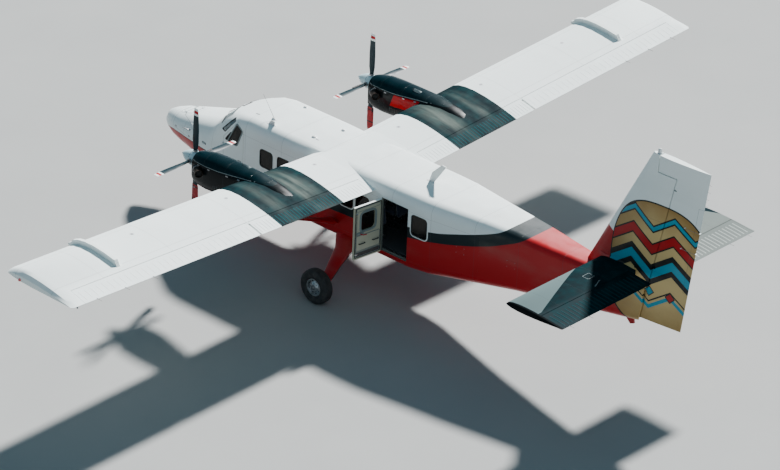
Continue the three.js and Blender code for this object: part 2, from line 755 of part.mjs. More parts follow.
// Engine: a plain block with its propeller shaft, held by a mount on each side of the cowling
function engine() {
  const block = rod([ENGINE_X, 4150, ENGINE_Z], [ENGINE_X, 5090, ENGINE_Z], ENGINE_RADIUS, 16);
  const shaft = rod(
    [ENGINE_X, 4200, ENGINE_Z],
    [ENGINE_X, PROP_STATION - SPINNER_EDGE, ENGINE_Z],
    SHAFT_RADIUS,
    SHAFT_SIDES,
  );
  const reach = COWL_HALF_WIDTH - COWL_WALL - TOUCH;
  const mounts = rod(
    [ENGINE_X - reach, ENGINE_MOUNT, ENGINE_Z],
    [ENGINE_X + reach, ENGINE_MOUNT, ENGINE_Z],
    30,
  );
  return join([block, shaft, mounts]);
}

// Propeller: a spinner and four twisted blades, feathered as they stand when parked
// Each row is radius, chord, thickness, blade angle in degrees.
const BLADE_SECTIONS = [
  [90, 90, 80, 110],
  [200, 95, 60, 108],
  [380, 150, 34, 102],
  [700, 175, 24, 94],
  [1050, 160, 16, 89],
  [PROP_RADIUS - 15, 125, 11, 87],
  [PROP_RADIUS, 80, 8, 87],
];
const BOOT_SECTIONS = [
  [640, 190, 50, 94],
  [1050, 200, 46, 89],
  [PROP_RADIUS + 20, 170, 40, 87],
];
function bladeBody(sections, grow) {
  return solid(loft(sections.map(([radius, chord, thickness, angle]) => {
    const turn = radians(angle);
    return Array.from({ length: 8 }, (_, i) => {
      const around = (2 * Math.PI * i) / 8;
      const across = (chord / 2 + grow) * Math.cos(around);
      const through = (thickness / 2 + grow) * Math.sin(around);
      return [
        across * Math.cos(turn) - through * Math.sin(turn),
        across * Math.sin(turn) + through * Math.cos(turn),
        radius,
      ];
    });
  })));
}
function bladeAt(body, quarter) {
  return placed(body, new THREE.Matrix4().makeRotationY((quarter * Math.PI) / 2));
}
function propeller() {
  const steps = 7;
  const cone = Array.from({ length: steps + 1 }, (_, i) => new THREE.Vector2(
    SPINNER_RADIUS * (1 - (i / steps) ** SPINNER_POINT),
    -SPINNER_EDGE - ((SPINNER_LENGTH - SPINNER_EDGE) * i) / steps,
  ));
  const back = [0, SPINNER_RADIUS].map((radius) => new THREE.Vector2(radius, SPINNER_BACK));
  const spinner = solid(new THREE.LatheGeometry([...back, ...cone], 20));
  const blades = [0, 1, 2, 3].map((quarter) => bladeAt(bladeBody(BLADE_SECTIONS, 0), quarter));
  const bore = rod(
    [0, -SPINNER_EDGE - 2, 0],
    [0, SPINNER_BACK + 5, 0],
    SHAFT_RADIUS + 2 * TOUCH,
    SHAFT_SIDES,
  );
  return join([spinner, ...blades]).subtract(bore);
}
function propBoot() {
  const inside = bladeBody(BLADE_SECTIONS, TOUCH + 0.2);
  return bladeAt(bladeBody(BOOT_SECTIONS, 0).subtract(inside), 2);
}

// Landing gear
function wheelSolids({ x, y, radius, width, rim, axle }) {
  const ring = (points) => {
    const profile = [...points, points[0]].map(([r, w]) => new THREE.Vector2(r, w));
    const geometry = new THREE.LatheGeometry(profile, TYRE_SIDES, Math.PI / TYRE_SIDES);
    geometry.rotateZ(Math.PI / 2);
    geometry.translate(x, y, radius * Math.cos(Math.PI / TYRE_SIDES));
    return solid(geometry);
  };
  const half = width / 2;
  const tyre = ring([
    [rim, -half * 0.72], [rim + 0.5 * (radius - rim), -half], [radius - 20, -half * 0.75],
    [radius, -half * 0.35], [radius, half * 0.35], [radius - 20, half * 0.75],
    [rim + 0.5 * (radius - rim), half], [rim, half * 0.72],
  ]);
  const edge = rim - 0.4;
  const hub = ring([
    [axle, -half * 0.8], [axle + 45, -half * 0.8], [edge - 30, -half * 0.3],
    [edge - 22, -half * 0.78], [edge, -half * 0.78], [edge, half * 0.78],
    [edge - 22, half * 0.78], [edge - 30, half * 0.45], [axle + 45, half * 0.8],
    [axle, half * 0.8],
  ]);
  return { tyre, hub };
}
const wheelHeight = (wheel) => wheel.radius * Math.cos(Math.PI / TYRE_SIDES);

// An oval bar with its chord along the fuselage. Each row is centre, chord and thickness.
function fairedBar(rows) {
  const centres = rows.map(([centre]) => new THREE.Vector3(...centre));
  const along = centres.at(-1).clone().sub(centres[0]).normalize();
  const aft = new THREE.Vector3(0, 1, 0);
  const side = aft.clone().cross(along).normalize();
  return solid(loft(rows.map(([, chord, thickness], i) => Array.from({ length: 12 }, (_, k) => {
    const angle = (2 * Math.PI * k) / 12;
    return centres[i].clone()
      .addScaledVector(aft, (chord / 2) * Math.cos(angle))
      .addScaledVector(side, (thickness / 2) * Math.sin(angle))
      .toArray();
  }))));
}

function mainLeg() {
  const height = wheelHeight(MAIN_WHEEL);
  const { x, y, axle } = MAIN_WHEEL;
  const leg = fairedBar([
    [[740, y - 60, 1260], 880, 220],
    [[1060, y, 1000], 450, 130],
    [[KNUCKLE_X, y, height], 260, 90],
  ]);
  const knuckle = box([KNUCKLE_X - 60, y - 90, height - 80], [KNUCKLE_X + 50, y + 90, height + 90]);
  const pin = rod([KNUCKLE_X, y, height], [x + 120, y, height], axle - 2 * TOUCH, 16);
  return join([leg, knuckle, pin]).subtract(bodyOfSections(CABIN_SECTIONS, TOUCH));
}

function noseLeg() {
  const { y } = NOSE_WHEEL;
  const leg = rod([0, y, 820], [0, y, 1300], 62, 16);
  const fairing = rod([0, y, 980], [0, y, 1300], 90, 16, 120);
  return leg
    .add(fairing)
    .subtract(bodyOfSections(NOSE_SECTIONS, TOUCH))
    .subtract(bodyOfSections(CABIN_SECTIONS, TOUCH));
}

function noseFork() {
  const height = wheelHeight(NOSE_WHEEL);
  const { y, width, radius, axle } = NOSE_WHEEL;
  const arm = width / 2 + 15;
  const crownBottom = height + radius + 25;
  const crown = box([-arm - 30, y - 70, crownBottom], [arm + 30, y + 70, crownBottom + 45]);
  const post = rod([0, y, crownBottom + 40], [0, y, 819.5], 62, 16);
  const arms = [1, -1].map((side) => box(
    [side > 0 ? arm : -arm - 30, y - 45, height - 45],
    [side > 0 ? arm + 30 : -arm, y + 45, crownBottom + 10],
  ));
  const pin = rod([-arm - 10, y, height], [arm + 10, y, height], axle - 2 * TOUCH, 16);
  return join([crown, post, ...arms, pin]);
}

function tailBumper() {
  const outline = [[13500, 2200], [13980, 2200], [14060, 1800], [13960, 1760]];
  return sidePrism(outline, -22, 22).subtract(bodyOfSections(TAIL_SECTIONS, TOUCH));
}

// Wing strut, cut to the fuselage side and the underside of the wing
function strut() {
  const bar = fairedBar([[[800, 6183, 1476], 210, 80], [[4330, 6010, 2900], 210, 80]]);
  return bar.subtract(bodyOfSections(CABIN_SECTIONS, TOUCH)).subtract(plainWing(TOUCH));
}

function antenna() {
  const outline = [[8110, 2900], [8230, 2900], [8600, 3440], [8480, 3455], [8200, 3180]];
  return sidePrism(outline, -9, 9).subtract(bodyOfSections(CABIN_SECTIONS, TOUCH));
}

// Cabin and cockpit
const floorSlab = box([-900, 2350, FLOOR_TOP - FLOOR_THICKNESS], [900, TAIL_JOIN - 90, FLOOR_TOP]);
const cabinFloor = floorSlab.intersect(cabinRoom);

function bulkhead(from, to, bottom, doorway) {
  const plate = box([-900, from, bottom], [900, to, FAR]).intersect(cabinRoom);
  return doorway ? plate.subtract(box(...doorway)) : plate;
}

const cockpitDoorway = [[-280, 3000, 0], [280, 4000, 2480]];
const cockpitBulkhead = bulkhead(3460, 3490, FLOOR_TOP + TOUCH, cockpitDoorway);
const rearBulkhead = bulkhead(TAIL_JOIN - 60, TAIL_JOIN - 20, 0);

function instrumentPanel() {
  const outline = [[2300, 1900], [2330, 1900], [2400, 2290], [2240, 2330], [2240, 2290]];
  const board = sidePrism(outline, -900, 900);
  const pedestal = box([-160, 2250, FLOOR_TOP - FLOOR_THICKNESS], [160, 2340, 1950]);
  const legs = [-600, 560].map((x) => box([x, 2260, 1100], [x + 40, 2300, 1950]));
  return join([board, pedestal, ...legs]).intersect(cabinRoom).subtract(box(
    [-1000, 2345, FLOOR_TOP - FLOOR_THICKNESS - TOUCH],
    [1000, 3000, FLOOR_TOP + TOUCH],
  ));
}

function seat(x, station, width) {
  const [low, high] = [x - width / 2, x + width / 2];
  const base = FLOOR_TOP + 60;
  const cushionTop = FLOOR_TOP + 420;
  const back = [
    [station + 390, base + 260],
    [station + 470, base + 260],
    [station + 580, FLOOR_TOP + 1010],
    [station + 510, FLOOR_TOP + 1010],
  ];
  return [
    box([low, station, cushionTop - 110], [high, station + 470, cushionTop]),
    sidePrism(back, low, high),
    box([low + 60, station + 120, FLOOR_TOP + 30], [high - 60, station + 350, cushionTop - 100]),
  ];
}

function seatRow(x, width, stations) {
  const rail = (offset) => box(
    [x + offset - 20, stations[0] + 20, FLOOR_TOP + TOUCH],
    [x + offset + 20, stations.at(-1) + 560, FLOOR_TOP + 45],
  );
  return join([rail(-width / 4), rail(width / 4), ...stations.flatMap((s) => seat(x, s, width))]);
}
const SEAT_PITCH = 760;
const seatStations = Array.from({ length: 5 }, (_, i) => 3620 + i * SEAT_PITCH);

function controlColumn() {
  const foot = box([-60, 2510, FLOOR_TOP + TOUCH], [60, 2610, FLOOR_TOP + 50]);
  const post = rod([0, 2560, FLOOR_TOP + 30], [0, 2500, 1750], 28, 10);
  const bar = rod([-400, 2500, 1800], [400, 2500, 1800], 20, 10);
  const riser = rod([0, 2500, 1740], [0, 2500, 1820], 28, 10);
  const wheels = [-390, 390].flatMap((x) => [
    rod([x, 2500, 1790], [x, 2580, 1830], 16, 6),
    rod([x - 130, 2580, 1830], [x + 130, 2580, 1830], 14, 6),
    rod([x - 125, 2580, 1825], [x - 140, 2570, 1920], 14, 6),
    rod([x + 125, 2580, 1825], [x + 140, 2570, 1920], 14, 6),
  ]);
  return join([foot, post, riser, bar, ...wheels]);
}

// Meshes
add('fuselage_nose', nose.subtract(box([-FAR, NOSE_JOIN - TOUCH, 0], [FAR, FAR, FAR])), white);
add('fuselage_cabin', shell, white);
add('fuselage_tail', tailCone.subtract(box([-FAR, 0, 0], [FAR, TAIL_JOIN + TOUCH, FAR])), white);
add('cabin_floor', cabinFloor, interior);
add('cockpit_bulkhead', cockpitBulkhead, interior);
add('rear_bulkhead', rearBulkhead, interior);
add('instrument_panel', instrumentPanel(), trim);
add('control_column', controlColumn(), trim);
[1, -1].forEach((side) => {
  const name = side > 0 ? 'port' : 'starboard';
  add(`crew_seat_${name}`, join([
    ...seat(side * 400, 2780, 440),
    box([side * 400 - 150, 2800, FLOOR_TOP + TOUCH], [side * 400 + 150, 3100, FLOOR_TOP + 60]),
  ]), cushion);
  const pane = windshieldHole(side, TOUCH)
    .intersect(bodyOfSections(CABIN_SECTIONS, -8))
    .subtract(bodyOfSections(stretched(CABIN_SECTIONS, 10, 10), -20));
  add(`windshield_${name}`, pane, glass);
});
add('cabin_seats_port', seatRow(520, 430, seatStations), cushion);
add('cabin_seats_starboard', seatRow(-380, 700, seatStations), cushion);
add('wing_centre', centreSection(0), white);
addPair('wing', wing, white);
addPair('flap', flap, white);
addPair('aileron', aileron, white);
addPair('strut', strut(), red);
addPair('nacelle', nacelle(), dark);
addPair('engine', engine(), steel);
[1, -1].forEach((side) => {
  const name = side > 0 ? 'port' : 'starboard';
  const hub = new THREE.Group();
  hub.position.set(side * ENGINE_X, PROP_STATION, ENGINE_Z);
  airframe.add(hub);
  add(`propeller_${name}`, propeller(), dark, hub);
  add(`propeller_boot_${name}`, propBoot(), red, hub);
});
add('fin', fin, white);
add('rudder', rudder, white);
addPair('tailplane', placed(tailplane, tailMatrix), dark);
addPair('elevator', placed(tailPanel.moving.elevator, tailMatrix), dark);
addPair('main_leg', mainLeg(), red);
const mainWheel = wheelSolids(MAIN_WHEEL);
addPair('main_tyre', mainWheel.tyre, rubber);
addPair('main_rim', mainWheel.hub, alloy);
add('nose_leg', noseLeg(), red);
add('nose_fork', noseFork(), red);
const noseWheel = wheelSolids(NOSE_WHEEL);
add('nose_tyre', noseWheel.tyre, rubber);
add('nose_rim', noseWheel.hub, alloy);
add('tail_bumper', tailBumper(), steel);
add('antenna', antenna(), white);

const openDoor = new THREE.Group();
const [portHingeX, portHingeY] = doorAxis(CABIN_DOOR_PORT, 1);
openDoor.position.set(portHingeX, portHingeY, 0);
openDoor.rotation.z = -DOOR_OPEN;
airframe.add(openDoor);
const portLeaf = doorLeaf(CABIN_DOOR_PORT, 1, CABIN_HINGES, [doorWindow]);
const starboardLeaf = doorLeaf(CABIN_DOOR_STARBOARD, -1, CABIN_HINGES, [doorWindow]);
add('cabin_door_port', surface(portLeaf).translate(-portHingeX, -portHingeY, 0), white, openDoor);
add('cabin_door_starboard', starboardLeaf, white);
add('crew_door_port', doorLeaf(CREW_DOOR, 1, CREW_HINGES, CREW_WINDOWS), white);
add('crew_door_starboard', doorLeaf(CREW_DOOR, -1, CREW_HINGES, CREW_WINDOWS), white);

export default aeroplane;
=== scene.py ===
"""Dresses a high-wing twin-turboprop airliner around its CAD model.

X runs to port, Y aft and Z up, in metres. A station is the distance aft of the nose tip.
"""

import json
import math

import bmesh
import bpy
from mathutils import Matrix, Vector
from mathutils.bvhtree import BVHTree

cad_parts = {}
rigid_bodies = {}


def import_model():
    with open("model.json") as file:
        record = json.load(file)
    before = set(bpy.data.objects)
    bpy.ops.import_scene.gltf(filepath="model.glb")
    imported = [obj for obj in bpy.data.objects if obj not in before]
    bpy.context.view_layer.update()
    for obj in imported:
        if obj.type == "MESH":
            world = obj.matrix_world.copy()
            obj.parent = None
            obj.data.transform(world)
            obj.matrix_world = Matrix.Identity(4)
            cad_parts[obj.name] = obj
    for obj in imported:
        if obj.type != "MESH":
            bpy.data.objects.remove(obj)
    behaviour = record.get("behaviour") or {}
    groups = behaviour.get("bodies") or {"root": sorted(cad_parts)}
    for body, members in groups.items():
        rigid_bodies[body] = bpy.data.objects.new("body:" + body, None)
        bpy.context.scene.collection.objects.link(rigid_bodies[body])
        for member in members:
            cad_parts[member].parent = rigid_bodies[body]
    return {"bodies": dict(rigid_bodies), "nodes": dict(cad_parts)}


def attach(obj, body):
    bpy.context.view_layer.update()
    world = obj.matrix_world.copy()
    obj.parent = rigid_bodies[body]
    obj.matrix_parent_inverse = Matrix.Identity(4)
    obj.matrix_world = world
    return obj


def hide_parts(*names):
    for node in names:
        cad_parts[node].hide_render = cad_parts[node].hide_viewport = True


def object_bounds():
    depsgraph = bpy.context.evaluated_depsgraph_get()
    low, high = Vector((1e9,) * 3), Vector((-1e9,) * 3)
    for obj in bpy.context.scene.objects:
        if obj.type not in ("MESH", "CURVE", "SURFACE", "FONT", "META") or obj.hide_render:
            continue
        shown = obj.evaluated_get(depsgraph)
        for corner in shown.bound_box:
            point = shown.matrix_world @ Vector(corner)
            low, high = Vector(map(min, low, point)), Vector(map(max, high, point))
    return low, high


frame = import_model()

CAD_LOW, CAD_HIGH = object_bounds()
NODES = frame["nodes"]
SIDES = {"port": 1, "starboard": -1}
UP, AFT = Vector((0, 0, 1)), Vector((0, 1, 0))


def at(station):
    """The Y of a station."""
    return CAD_LOW.y + station


# Paint colours, linear
# WHITE is tinted a little cyan: painted bluish shade, standing in for sky light on the shaded sides.
WHITE = (0.77, 0.82, 0.8)
BLACK = (0.003, 0.005, 0.006)
TEAL_BLACK = (0.001, 0.01, 0.013)
RED = (0.38, 0.002, 0.006)
TAN = (0.56, 0.4, 0.17)
TAN_DARK = (0.3, 0.17, 0.05)
TURQUOISE = (0.01, 0.27, 0.38)
SOOT = (0.15, 0.18, 0.155)
GRIME = (0.24, 0.22, 0.18)
SPINNER_BLUE = (0.42, 0.56, 0.6)
DOOR_GREEN = (0.4, 0.4, 0.3)
CABIN_GREY = (0.16, 0.18, 0.16)


# Camera: the place and turn that were fitted to the photograph
IMAGE_WIDTH = 780
CAMERA_PLACE = (61.636, 54.313, 45.038)
CAMERA_AZIMUTH = math.radians(41.75)
CAMERA_ELEVATION = math.radians(27.96)
CAMERA_ROLL = math.radians(2.4436)
CAMERA_LENS = 195.13
CAMERA_SHIFT = (-4.79 / IMAGE_WIDTH, 1.92 / IMAGE_WIDTH)

# Lights: name, strength, angle of softness, azimuth and elevation
LIGHTS = (("key", 13.0, 4, 197, 40), ("fill", 0.3, 60, 60, 35))
SKY = (0.36, 0.69, 0.92, 1)
SKY_STRENGTH = 0.38
FLOOR_REACH = 400


def bearing(azimuth, elevation):
    """The direction of an azimuth and an elevation, in radians."""
    level = math.cos(elevation)
    return Vector((level * math.cos(azimuth), level * math.sin(azimuth), math.sin(elevation)))


def link_object(name, data):
    made = bpy.data.objects.new(name, data)
    bpy.context.scene.collection.objects.link(made)
    return made


def make_camera():
    back = bearing(CAMERA_AZIMUTH, CAMERA_ELEVATION)
    right = (-back).cross(UP).normalized()
    up = right.cross(-back)
    turned_right = right * math.cos(CAMERA_ROLL) + up * math.sin(CAMERA_ROLL)
    turned_up = up * math.cos(CAMERA_ROLL) - right * math.sin(CAMERA_ROLL)
    data = bpy.data.cameras.new("camera")
    data.lens = CAMERA_LENS
    data.sensor_width = 36
    data.shift_x, data.shift_y = CAMERA_SHIFT
    data.clip_end = 500
    camera = link_object("camera", data)
    axes = Matrix((turned_right, turned_up, back)).transposed().to_4x4()
    camera.matrix_world = Matrix.Translation(CAMERA_PLACE) @ axes
    bpy.context.scene.camera = camera


def make_lights():
    world = bpy.data.worlds.new("studio")
    world.use_nodes = True
    background = world.node_tree.nodes["Background"]
    background.inputs["Color"].default_value = SKY
    background.inputs["Strength"].default_value = SKY_STRENGTH
    bpy.context.scene.world = world
    for name, strength, softness, azimuth, elevation in LIGHTS:
        data = bpy.data.lights.new(name, "SUN")
        data.energy = strength
        data.angle = math.radians(softness)
        lamp = link_object(name, data)
        towards = bearing(math.radians(azimuth), math.radians(elevation))
        lamp.rotation_mode = "QUATERNION"
        lamp.rotation_quaternion = towards.to_track_quat("Z", "Y")


class Value:
    """A number or colour that a shader works out, for use in sums. A mask is 1 where it holds."""

    def __init__(self, shader, socket):
        self.shader, self.socket = shader, socket

    def math(self, operation, *others):
        return self.shader.math(operation, self, *others)

    def __radd__(self, other):
        return self.shader.math("ADD", other, self)

    def __rsub__(self, other):
        return self.shader.math("SUBTRACT", other, self)

    def __abs__(self):
        return self.math("ABSOLUTE")

    def __invert__(self):
        return 1.0 - self

    def between(self, low, high):
        return (self > low) & (self < high)

    def near(self, place, reach):
        return self.math("COMPARE", place, reach)

    def zigzag(self, reach):
        """Rises from 0 to the reach and falls back, over and over."""
        return self.math("PINGPONG", reach)

    def lines(self, places, width):
        """A mask of thin lines at certain places."""
        mask = self.near(places[0], width / 2)
        for place in places[1:]:
            mask = mask | self.near(place, width / 2)
        return mask

    def repeats(self, pitch, width):
        """A mask of thin lines, a pitch apart."""
        return self.zigzag(pitch / 2) < width / 2

    def rivets(self, across, pitch=0.045, size=0.0045):
        """A mask of rivet heads, a pitch apart along lines where across is zero."""
        step = self.zigzag(pitch / 2)
        distance = (step * step + across * across).math("SQRT")
        return distance.ramp(size * 0.6, size, 1.0, 0.0)

    def ramp(self, low, high, start=0.0, end=1.0):
        made = self.shader.node("ShaderNodeMapRange", clamp=True)
        for target, given in zip(made.inputs, (self, low, high, start, end)):
            self.shader.feed(target, given)
        return Value(self.shader, made.outputs[0])

    def curve(self, points):
        """A smooth curve through points of (input, output)."""
        low, high = points[0][0], points[-1][0]
        outputs = [output for _, output in points]
        bottom, top = min(outputs), max(outputs)
        made = self.shader.node("ShaderNodeFloatCurve")
        curve = made.mapping.curves[0]
        spots = [((a - low) / (high - low), (b - bottom) / (top - bottom)) for a, b in points]
        curve.points[0].location = spots[0]
        curve.points[1].location = spots[-1]
        for spot in spots[1:-1]:
            curve.points.new(*spot)
        made.mapping.update()
        self.shader.feed(made.inputs["Value"], self.ramp(low, high))
        return Value(self.shader, made.outputs[0]).ramp(0.0, 1.0, bottom, top)


for sign, operation in (
    ("add", "ADD"), ("sub", "SUBTRACT"), ("mul", "MULTIPLY"), ("truediv", "DIVIDE"), ("pow", "POWER"),
    ("gt", "GREATER_THAN"), ("lt", "LESS_THAN"), ("and", "MULTIPLY"), ("or", "MAXIMUM"),
):
    setattr(Value, f"__{sign}__", lambda self, other, kind=operation: self.math(kind, other))


class Shader:
    """One procedural material, and short ways to add nodes to it."""

    def __init__(self, name, roughness=0.4, metallic=0.0):
        self.material = bpy.data.materials.new(name)
        self.material.use_nodes = True
        self.tree = self.material.node_tree
        self.surface = self.tree.nodes["Principled BSDF"]
        self.set(Roughness=roughness, Metallic=metallic)
        coordinates = self.node("ShaderNodeTexCoord")
        self.place = coordinates.outputs["Object"]
        self.facing = coordinates.outputs["Normal"]
        self.x, self.y, self.z = self.split(self.place)

    @property
    def station(self):
        return self.y - CAD_LOW.y

    @property
    def across(self):
        return abs(self.x)

    def node(self, kind, **settings):
        made = self.tree.nodes.new(kind)
        for key, value in settings.items():
            setattr(made, key, value)
        return made

    def split(self, vector):
        made = self.node("ShaderNodeSeparateXYZ")
        self.feed(made.inputs[0], vector)
        return [Value(self, output) for output in made.outputs]

    def feed(self, target, value):
        if isinstance(value, Value):
            value = value.socket
        if isinstance(value, bpy.types.NodeSocket):
            self.tree.links.new(value, target)
        elif isinstance(value, tuple) and target.type == "RGBA":
            target.default_value = (*value, 1)
        else:
            target.default_value = value

    def set(self, **values):
        """Sets sockets of the surface, whose names are written with low lines for spaces."""
        for name, value in values.items():
            self.feed(self.surface.inputs[name.replace("_", " ")], value)
        return self.material

    def math(self, operation, *values):
        made = self.node("ShaderNodeMath", operation=operation)
        for target, value in zip(made.inputs, values):
            self.feed(target, value)
        return Value(self, made.outputs[0])

    def turned(self, vector, centre, angle):
        """A vector turned about an upright line."""
        made = self.node("ShaderNodeVectorRotate", rotation_type="Z_AXIS")
        for name, value in (("Vector", vector), ("Center", centre), ("Angle", angle)):
            self.feed(made.inputs[name], value)
        return made.outputs[0]

    def mix(self, factor, below, above):
        made = self.node("ShaderNodeMix", data_type="RGBA")
        for number, value in ((0, factor), (6, below), (7, above)):
            self.feed(made.inputs[number], value)
        return Value(self, made.outputs[2])

    def noise(self, scale, detail=3.0, stretch=(1, 1, 1)):
        mapping = self.node("ShaderNodeMapping")
        made = self.node("ShaderNodeTexNoise")
        for target, value in (
            (mapping.inputs["Vector"], self.place), (mapping.inputs["Scale"], stretch),
            (made.inputs["Vector"], mapping.outputs[0]), (made.inputs["Scale"], scale),
            (made.inputs["Detail"], detail), (made.inputs["Roughness"], 0.55),
        ):
            self.feed(target, value)
        return Value(self, made.outputs["Fac"])

    def bump(self, height, distance, strength=1.0):
        made = self.node("ShaderNodeBump")
        normal = self.surface.inputs["Normal"]
        for name, value in (("Distance", distance), ("Strength", strength), ("Height", height)):
            self.feed(made.inputs[name], value)
        if normal.is_linked:
            self.feed(made.inputs["Normal"], normal.links[0].from_socket)
        self.feed(normal, made.outputs[0])

    def rough(self, scale, detail, low, high):
        """Roughness that wanders between two values."""
        return self.noise(scale, detail).ramp(0.3, 0.7, low, high)

    def painted(self, color, seams=None, rivets=None, grime=0.1, coat=0.08, matt=None,
                specular=0.25, gloss=(0.34, 0.5)):
        """Gloss paint: faint waves, a little grime, and seams that are darker and sunk. It gives
        the material."""
        dirt = self.noise(1.6, 6, (1, 0.35, 1)).ramp(0.48, 0.75, 0.0, grime)
        if matt is not None:
            dirt = dirt * matt.ramp(0, 1, 1.0, 0.12)
        shaded = self.mix(dirt, color, GRIME)
        if seams is not None:
            shaded = self.mix(seams * 0.4, shaded, (0.04, 0.05, 0.05))
            self.bump(~seams, 0.003, 0.5)
        if rivets is not None:
            shaded = self.mix(rivets * 0.1, shaded, (0.05, 0.05, 0.05))
            self.bump(rivets, 0.0012, 0.8)
        rough = self.noise(3.0, 4).ramp(0.3, 0.7, *gloss)
        if matt is not None:
            rough = rough + matt * 0.2
        self.bump(self.noise(0.9, 2), 0.01, 0.2)
        return self.set(Base_Color=shaded, Roughness=rough, Specular_IOR_Level=specular,
                        Coat_Weight=coat, Coat_Roughness=0.12)


# Paint lines along the fuselage side. Each row is station and height.
BLACK_EDGE = (
    (0.0, 1.41), (0.15, 1.455), (0.4, 1.56), (0.76, 1.655), (1.2, 1.688), (2.0, 1.69),
    (3.5, 1.745), (5.0, 1.88), (6.44, 2.06), (7.6, 2.125), (8.87, 2.27), (9.65, 2.47),
    (10.41, 2.73), (10.74, 2.88), (10.86, 2.99),
)
RED_EDGE = (
    (0.0, 1.4), (0.15, 1.44), (0.4, 1.545), (0.76, 1.638), (1.2, 1.672), (2.0, 1.668),
    (3.5, 1.675), (5.0, 1.7), (6.25, 1.76), (7.6, 1.845), (8.88, 2.03), (9.66, 2.2),
    (10.43, 2.44), (10.82, 2.61), (11.19, 2.79), (11.42, 2.96),
)
FRAME_PITCH = 1.12
STRINGER_HEIGHTS = (1.38, 2.58)
STRINGER_RIVETS = (2.6, 1.36)
CABIN_MIDDLE = 2.05
SEAM = 0.006
# Baggage hatch in the nose: its edges' stations and heights, and the width of its seam
HATCH = ((0.62, 1.52), (1.72, 2.02))
HATCH_SEAM = 0.01
NOSE_CAP_STATION = 0.52

# The port rear door stands open at rest: where it turns, and by how much
PORT_HINGE = (0.89, at(7.528), 0.0)
DOOR_OPEN = math.radians(97)


def band_colors(shader, station, height):
    white = (height > station.curve(BLACK_EDGE)) & ~(station > BLACK_EDGE[-1][0])
    red = (height < station.curve(RED_EDGE)) | (station > RED_EDGE[-1][0])
    return shader.mix(white, shader.mix(red, TEAL_BLACK, RED), WHITE)


def frame_lines(station, height):
    """Seams at the fuselage's frames, and a line of rivets beside each."""
    seams = station.repeats(FRAME_PITCH, 0.007)
    return seams, height.rivets(station.zigzag(FRAME_PITCH / 2) - 0.022)


def fuselage_paint(name, lining=None, swing=0.0):
    """Outer paint by station and height. Inner faces get the lining. A door that stands open is
    looked up where it is when closed."""
    shader = Shader(name)
    place, facing = shader.place, shader.facing
    if swing:
        place = shader.turned(place, PORT_HINGE, swing)
        facing = shader.turned(facing, (0, 0, 0), swing)
    x, y, z = shader.split(place)
    station = y - CAD_LOW.y
    (front, rear), (low, high) = HATCH
    hatch, hatch_core = [
        station.between(front + inset, rear - inset) & z.between(low + inset, high - inset)
        for inset in (0, HATCH_SEAM)
    ]
    seams, rivets = frame_lines(station, z)
    seams = seams | z.lines(STRINGER_HEIGHTS, SEAM) | (hatch - hatch_core)
    seams = seams | station.near(NOSE_CAP_STATION, 0.004)
    for line in STRINGER_RIVETS:
        rivets = rivets | station.rivets(z - line)
    color = band_colors(shader, station, z)
    if lining:
        nx, _, nz = shader.split(facing)
        inside = x * nx + (z - CABIN_MIDDLE) * nz < 0.02
        color = shader.mix(inside, color, lining)
        seams, rivets = seams & ~inside, rivets & ~inside
    return shader.painted(color, seams, rivets)


def plain_paint(name, color, grime=0.1):
    return Shader(name).painted(color, grime=grime)


# Fin field: a rounded tan shape with a plain design of chevrons. Its middle and half size are in
# station and height, and each row of the design is a band's lower and upper edge and its colour.
FIELD_CENTRE = (14.66, 3.35)
FIELD_HALF = (1.27, 1.5)
FIELD_POWER = 2.6
DESIGN = (
    (2.36, 2.46, TURQUOISE), (2.52, 2.56, BLACK), (2.92, 3.06, BLACK), (3.06, 3.27, TURQUOISE),
    (3.27, 3.41, BLACK), (3.62, 3.66, BLACK), (3.66, 3.86, RED), (3.86, 3.9, BLACK),
    (4.14, 4.18, BLACK), (4.18, 4.28, TURQUOISE), (4.28, 4.32, BLACK),
)
DIAMONDS = ((13.94, RED), (14.46, TURQUOISE), (14.98, RED), (15.5, TURQUOISE))
DIAMOND_HEIGHT = 2.78


def field_colors(shader, station, height, around):
    """The field's design over the colour that lies around it."""
    cubes = [
        abs((place - centre) / half) ** FIELD_POWER
        for place, centre, half in zip((station, height), FIELD_CENTRE, FIELD_HALF)
    ]
    radius = (cubes[0] + cubes[1]) ** (1 / FIELD_POWER)
    blotch = radius + shader.noise(2.2, 4) * 0.35
    color = shader.mix(blotch.ramp(0.7, 1.18), TAN, TAN_DARK)
    zigzag = height - (station - 13.42).zigzag(0.52) * 0.7
    for low, high, stripe in DESIGN:
        color = shader.mix(zigzag.between(low, high), color, stripe)
    for middle, hue in DIAMONDS:
        reach = abs(station - middle) + abs(height - DIAMOND_HEIGHT)
        color = shader.mix(reach < 0.13, color, BLACK)
        color = shader.mix(reach < 0.1, color, hue)
    color = shader.mix(radius < 1.0, around, color)
    return shader.mix(radius.between(0.985, 1.008), color, BLACK)


def tail_paint():
    """The tail cone: red, with the fin's field reaching down onto it."""
    shader = Shader("tail_paint")
    station, z = shader.station, shader.z
    color = field_colors(shader, station, z, band_colors(shader, station, z))
    return shader.painted(color, *frame_lines(station, z), grime=0.2)


def fin_paint():
    """White above and red at the root, round the field, with the seams of the rudder's tab."""
    shader = Shader("fin_paint")
    station, z = shader.station, shader.z
    root = z + station * 0.42 < 9.42
    below = z + station * -0.55 < -5.35
    color = field_colors(shader, station, z, shader.mix(root | below, WHITE, RED))
    tab_line = station - z * 0.125
    tab_ends = (tab_line > 14.9) & ((z < 3.04) | (z > 5.08))
    tab = z.between(3.03, 5.09) & (tab_line.near(14.9, 0.005) | tab_ends)
    return shader.painted(color, z.lines((3.28, 4.46), SEAM) | tab, station.rivets(z.zigzag(0.59) - 0.02))


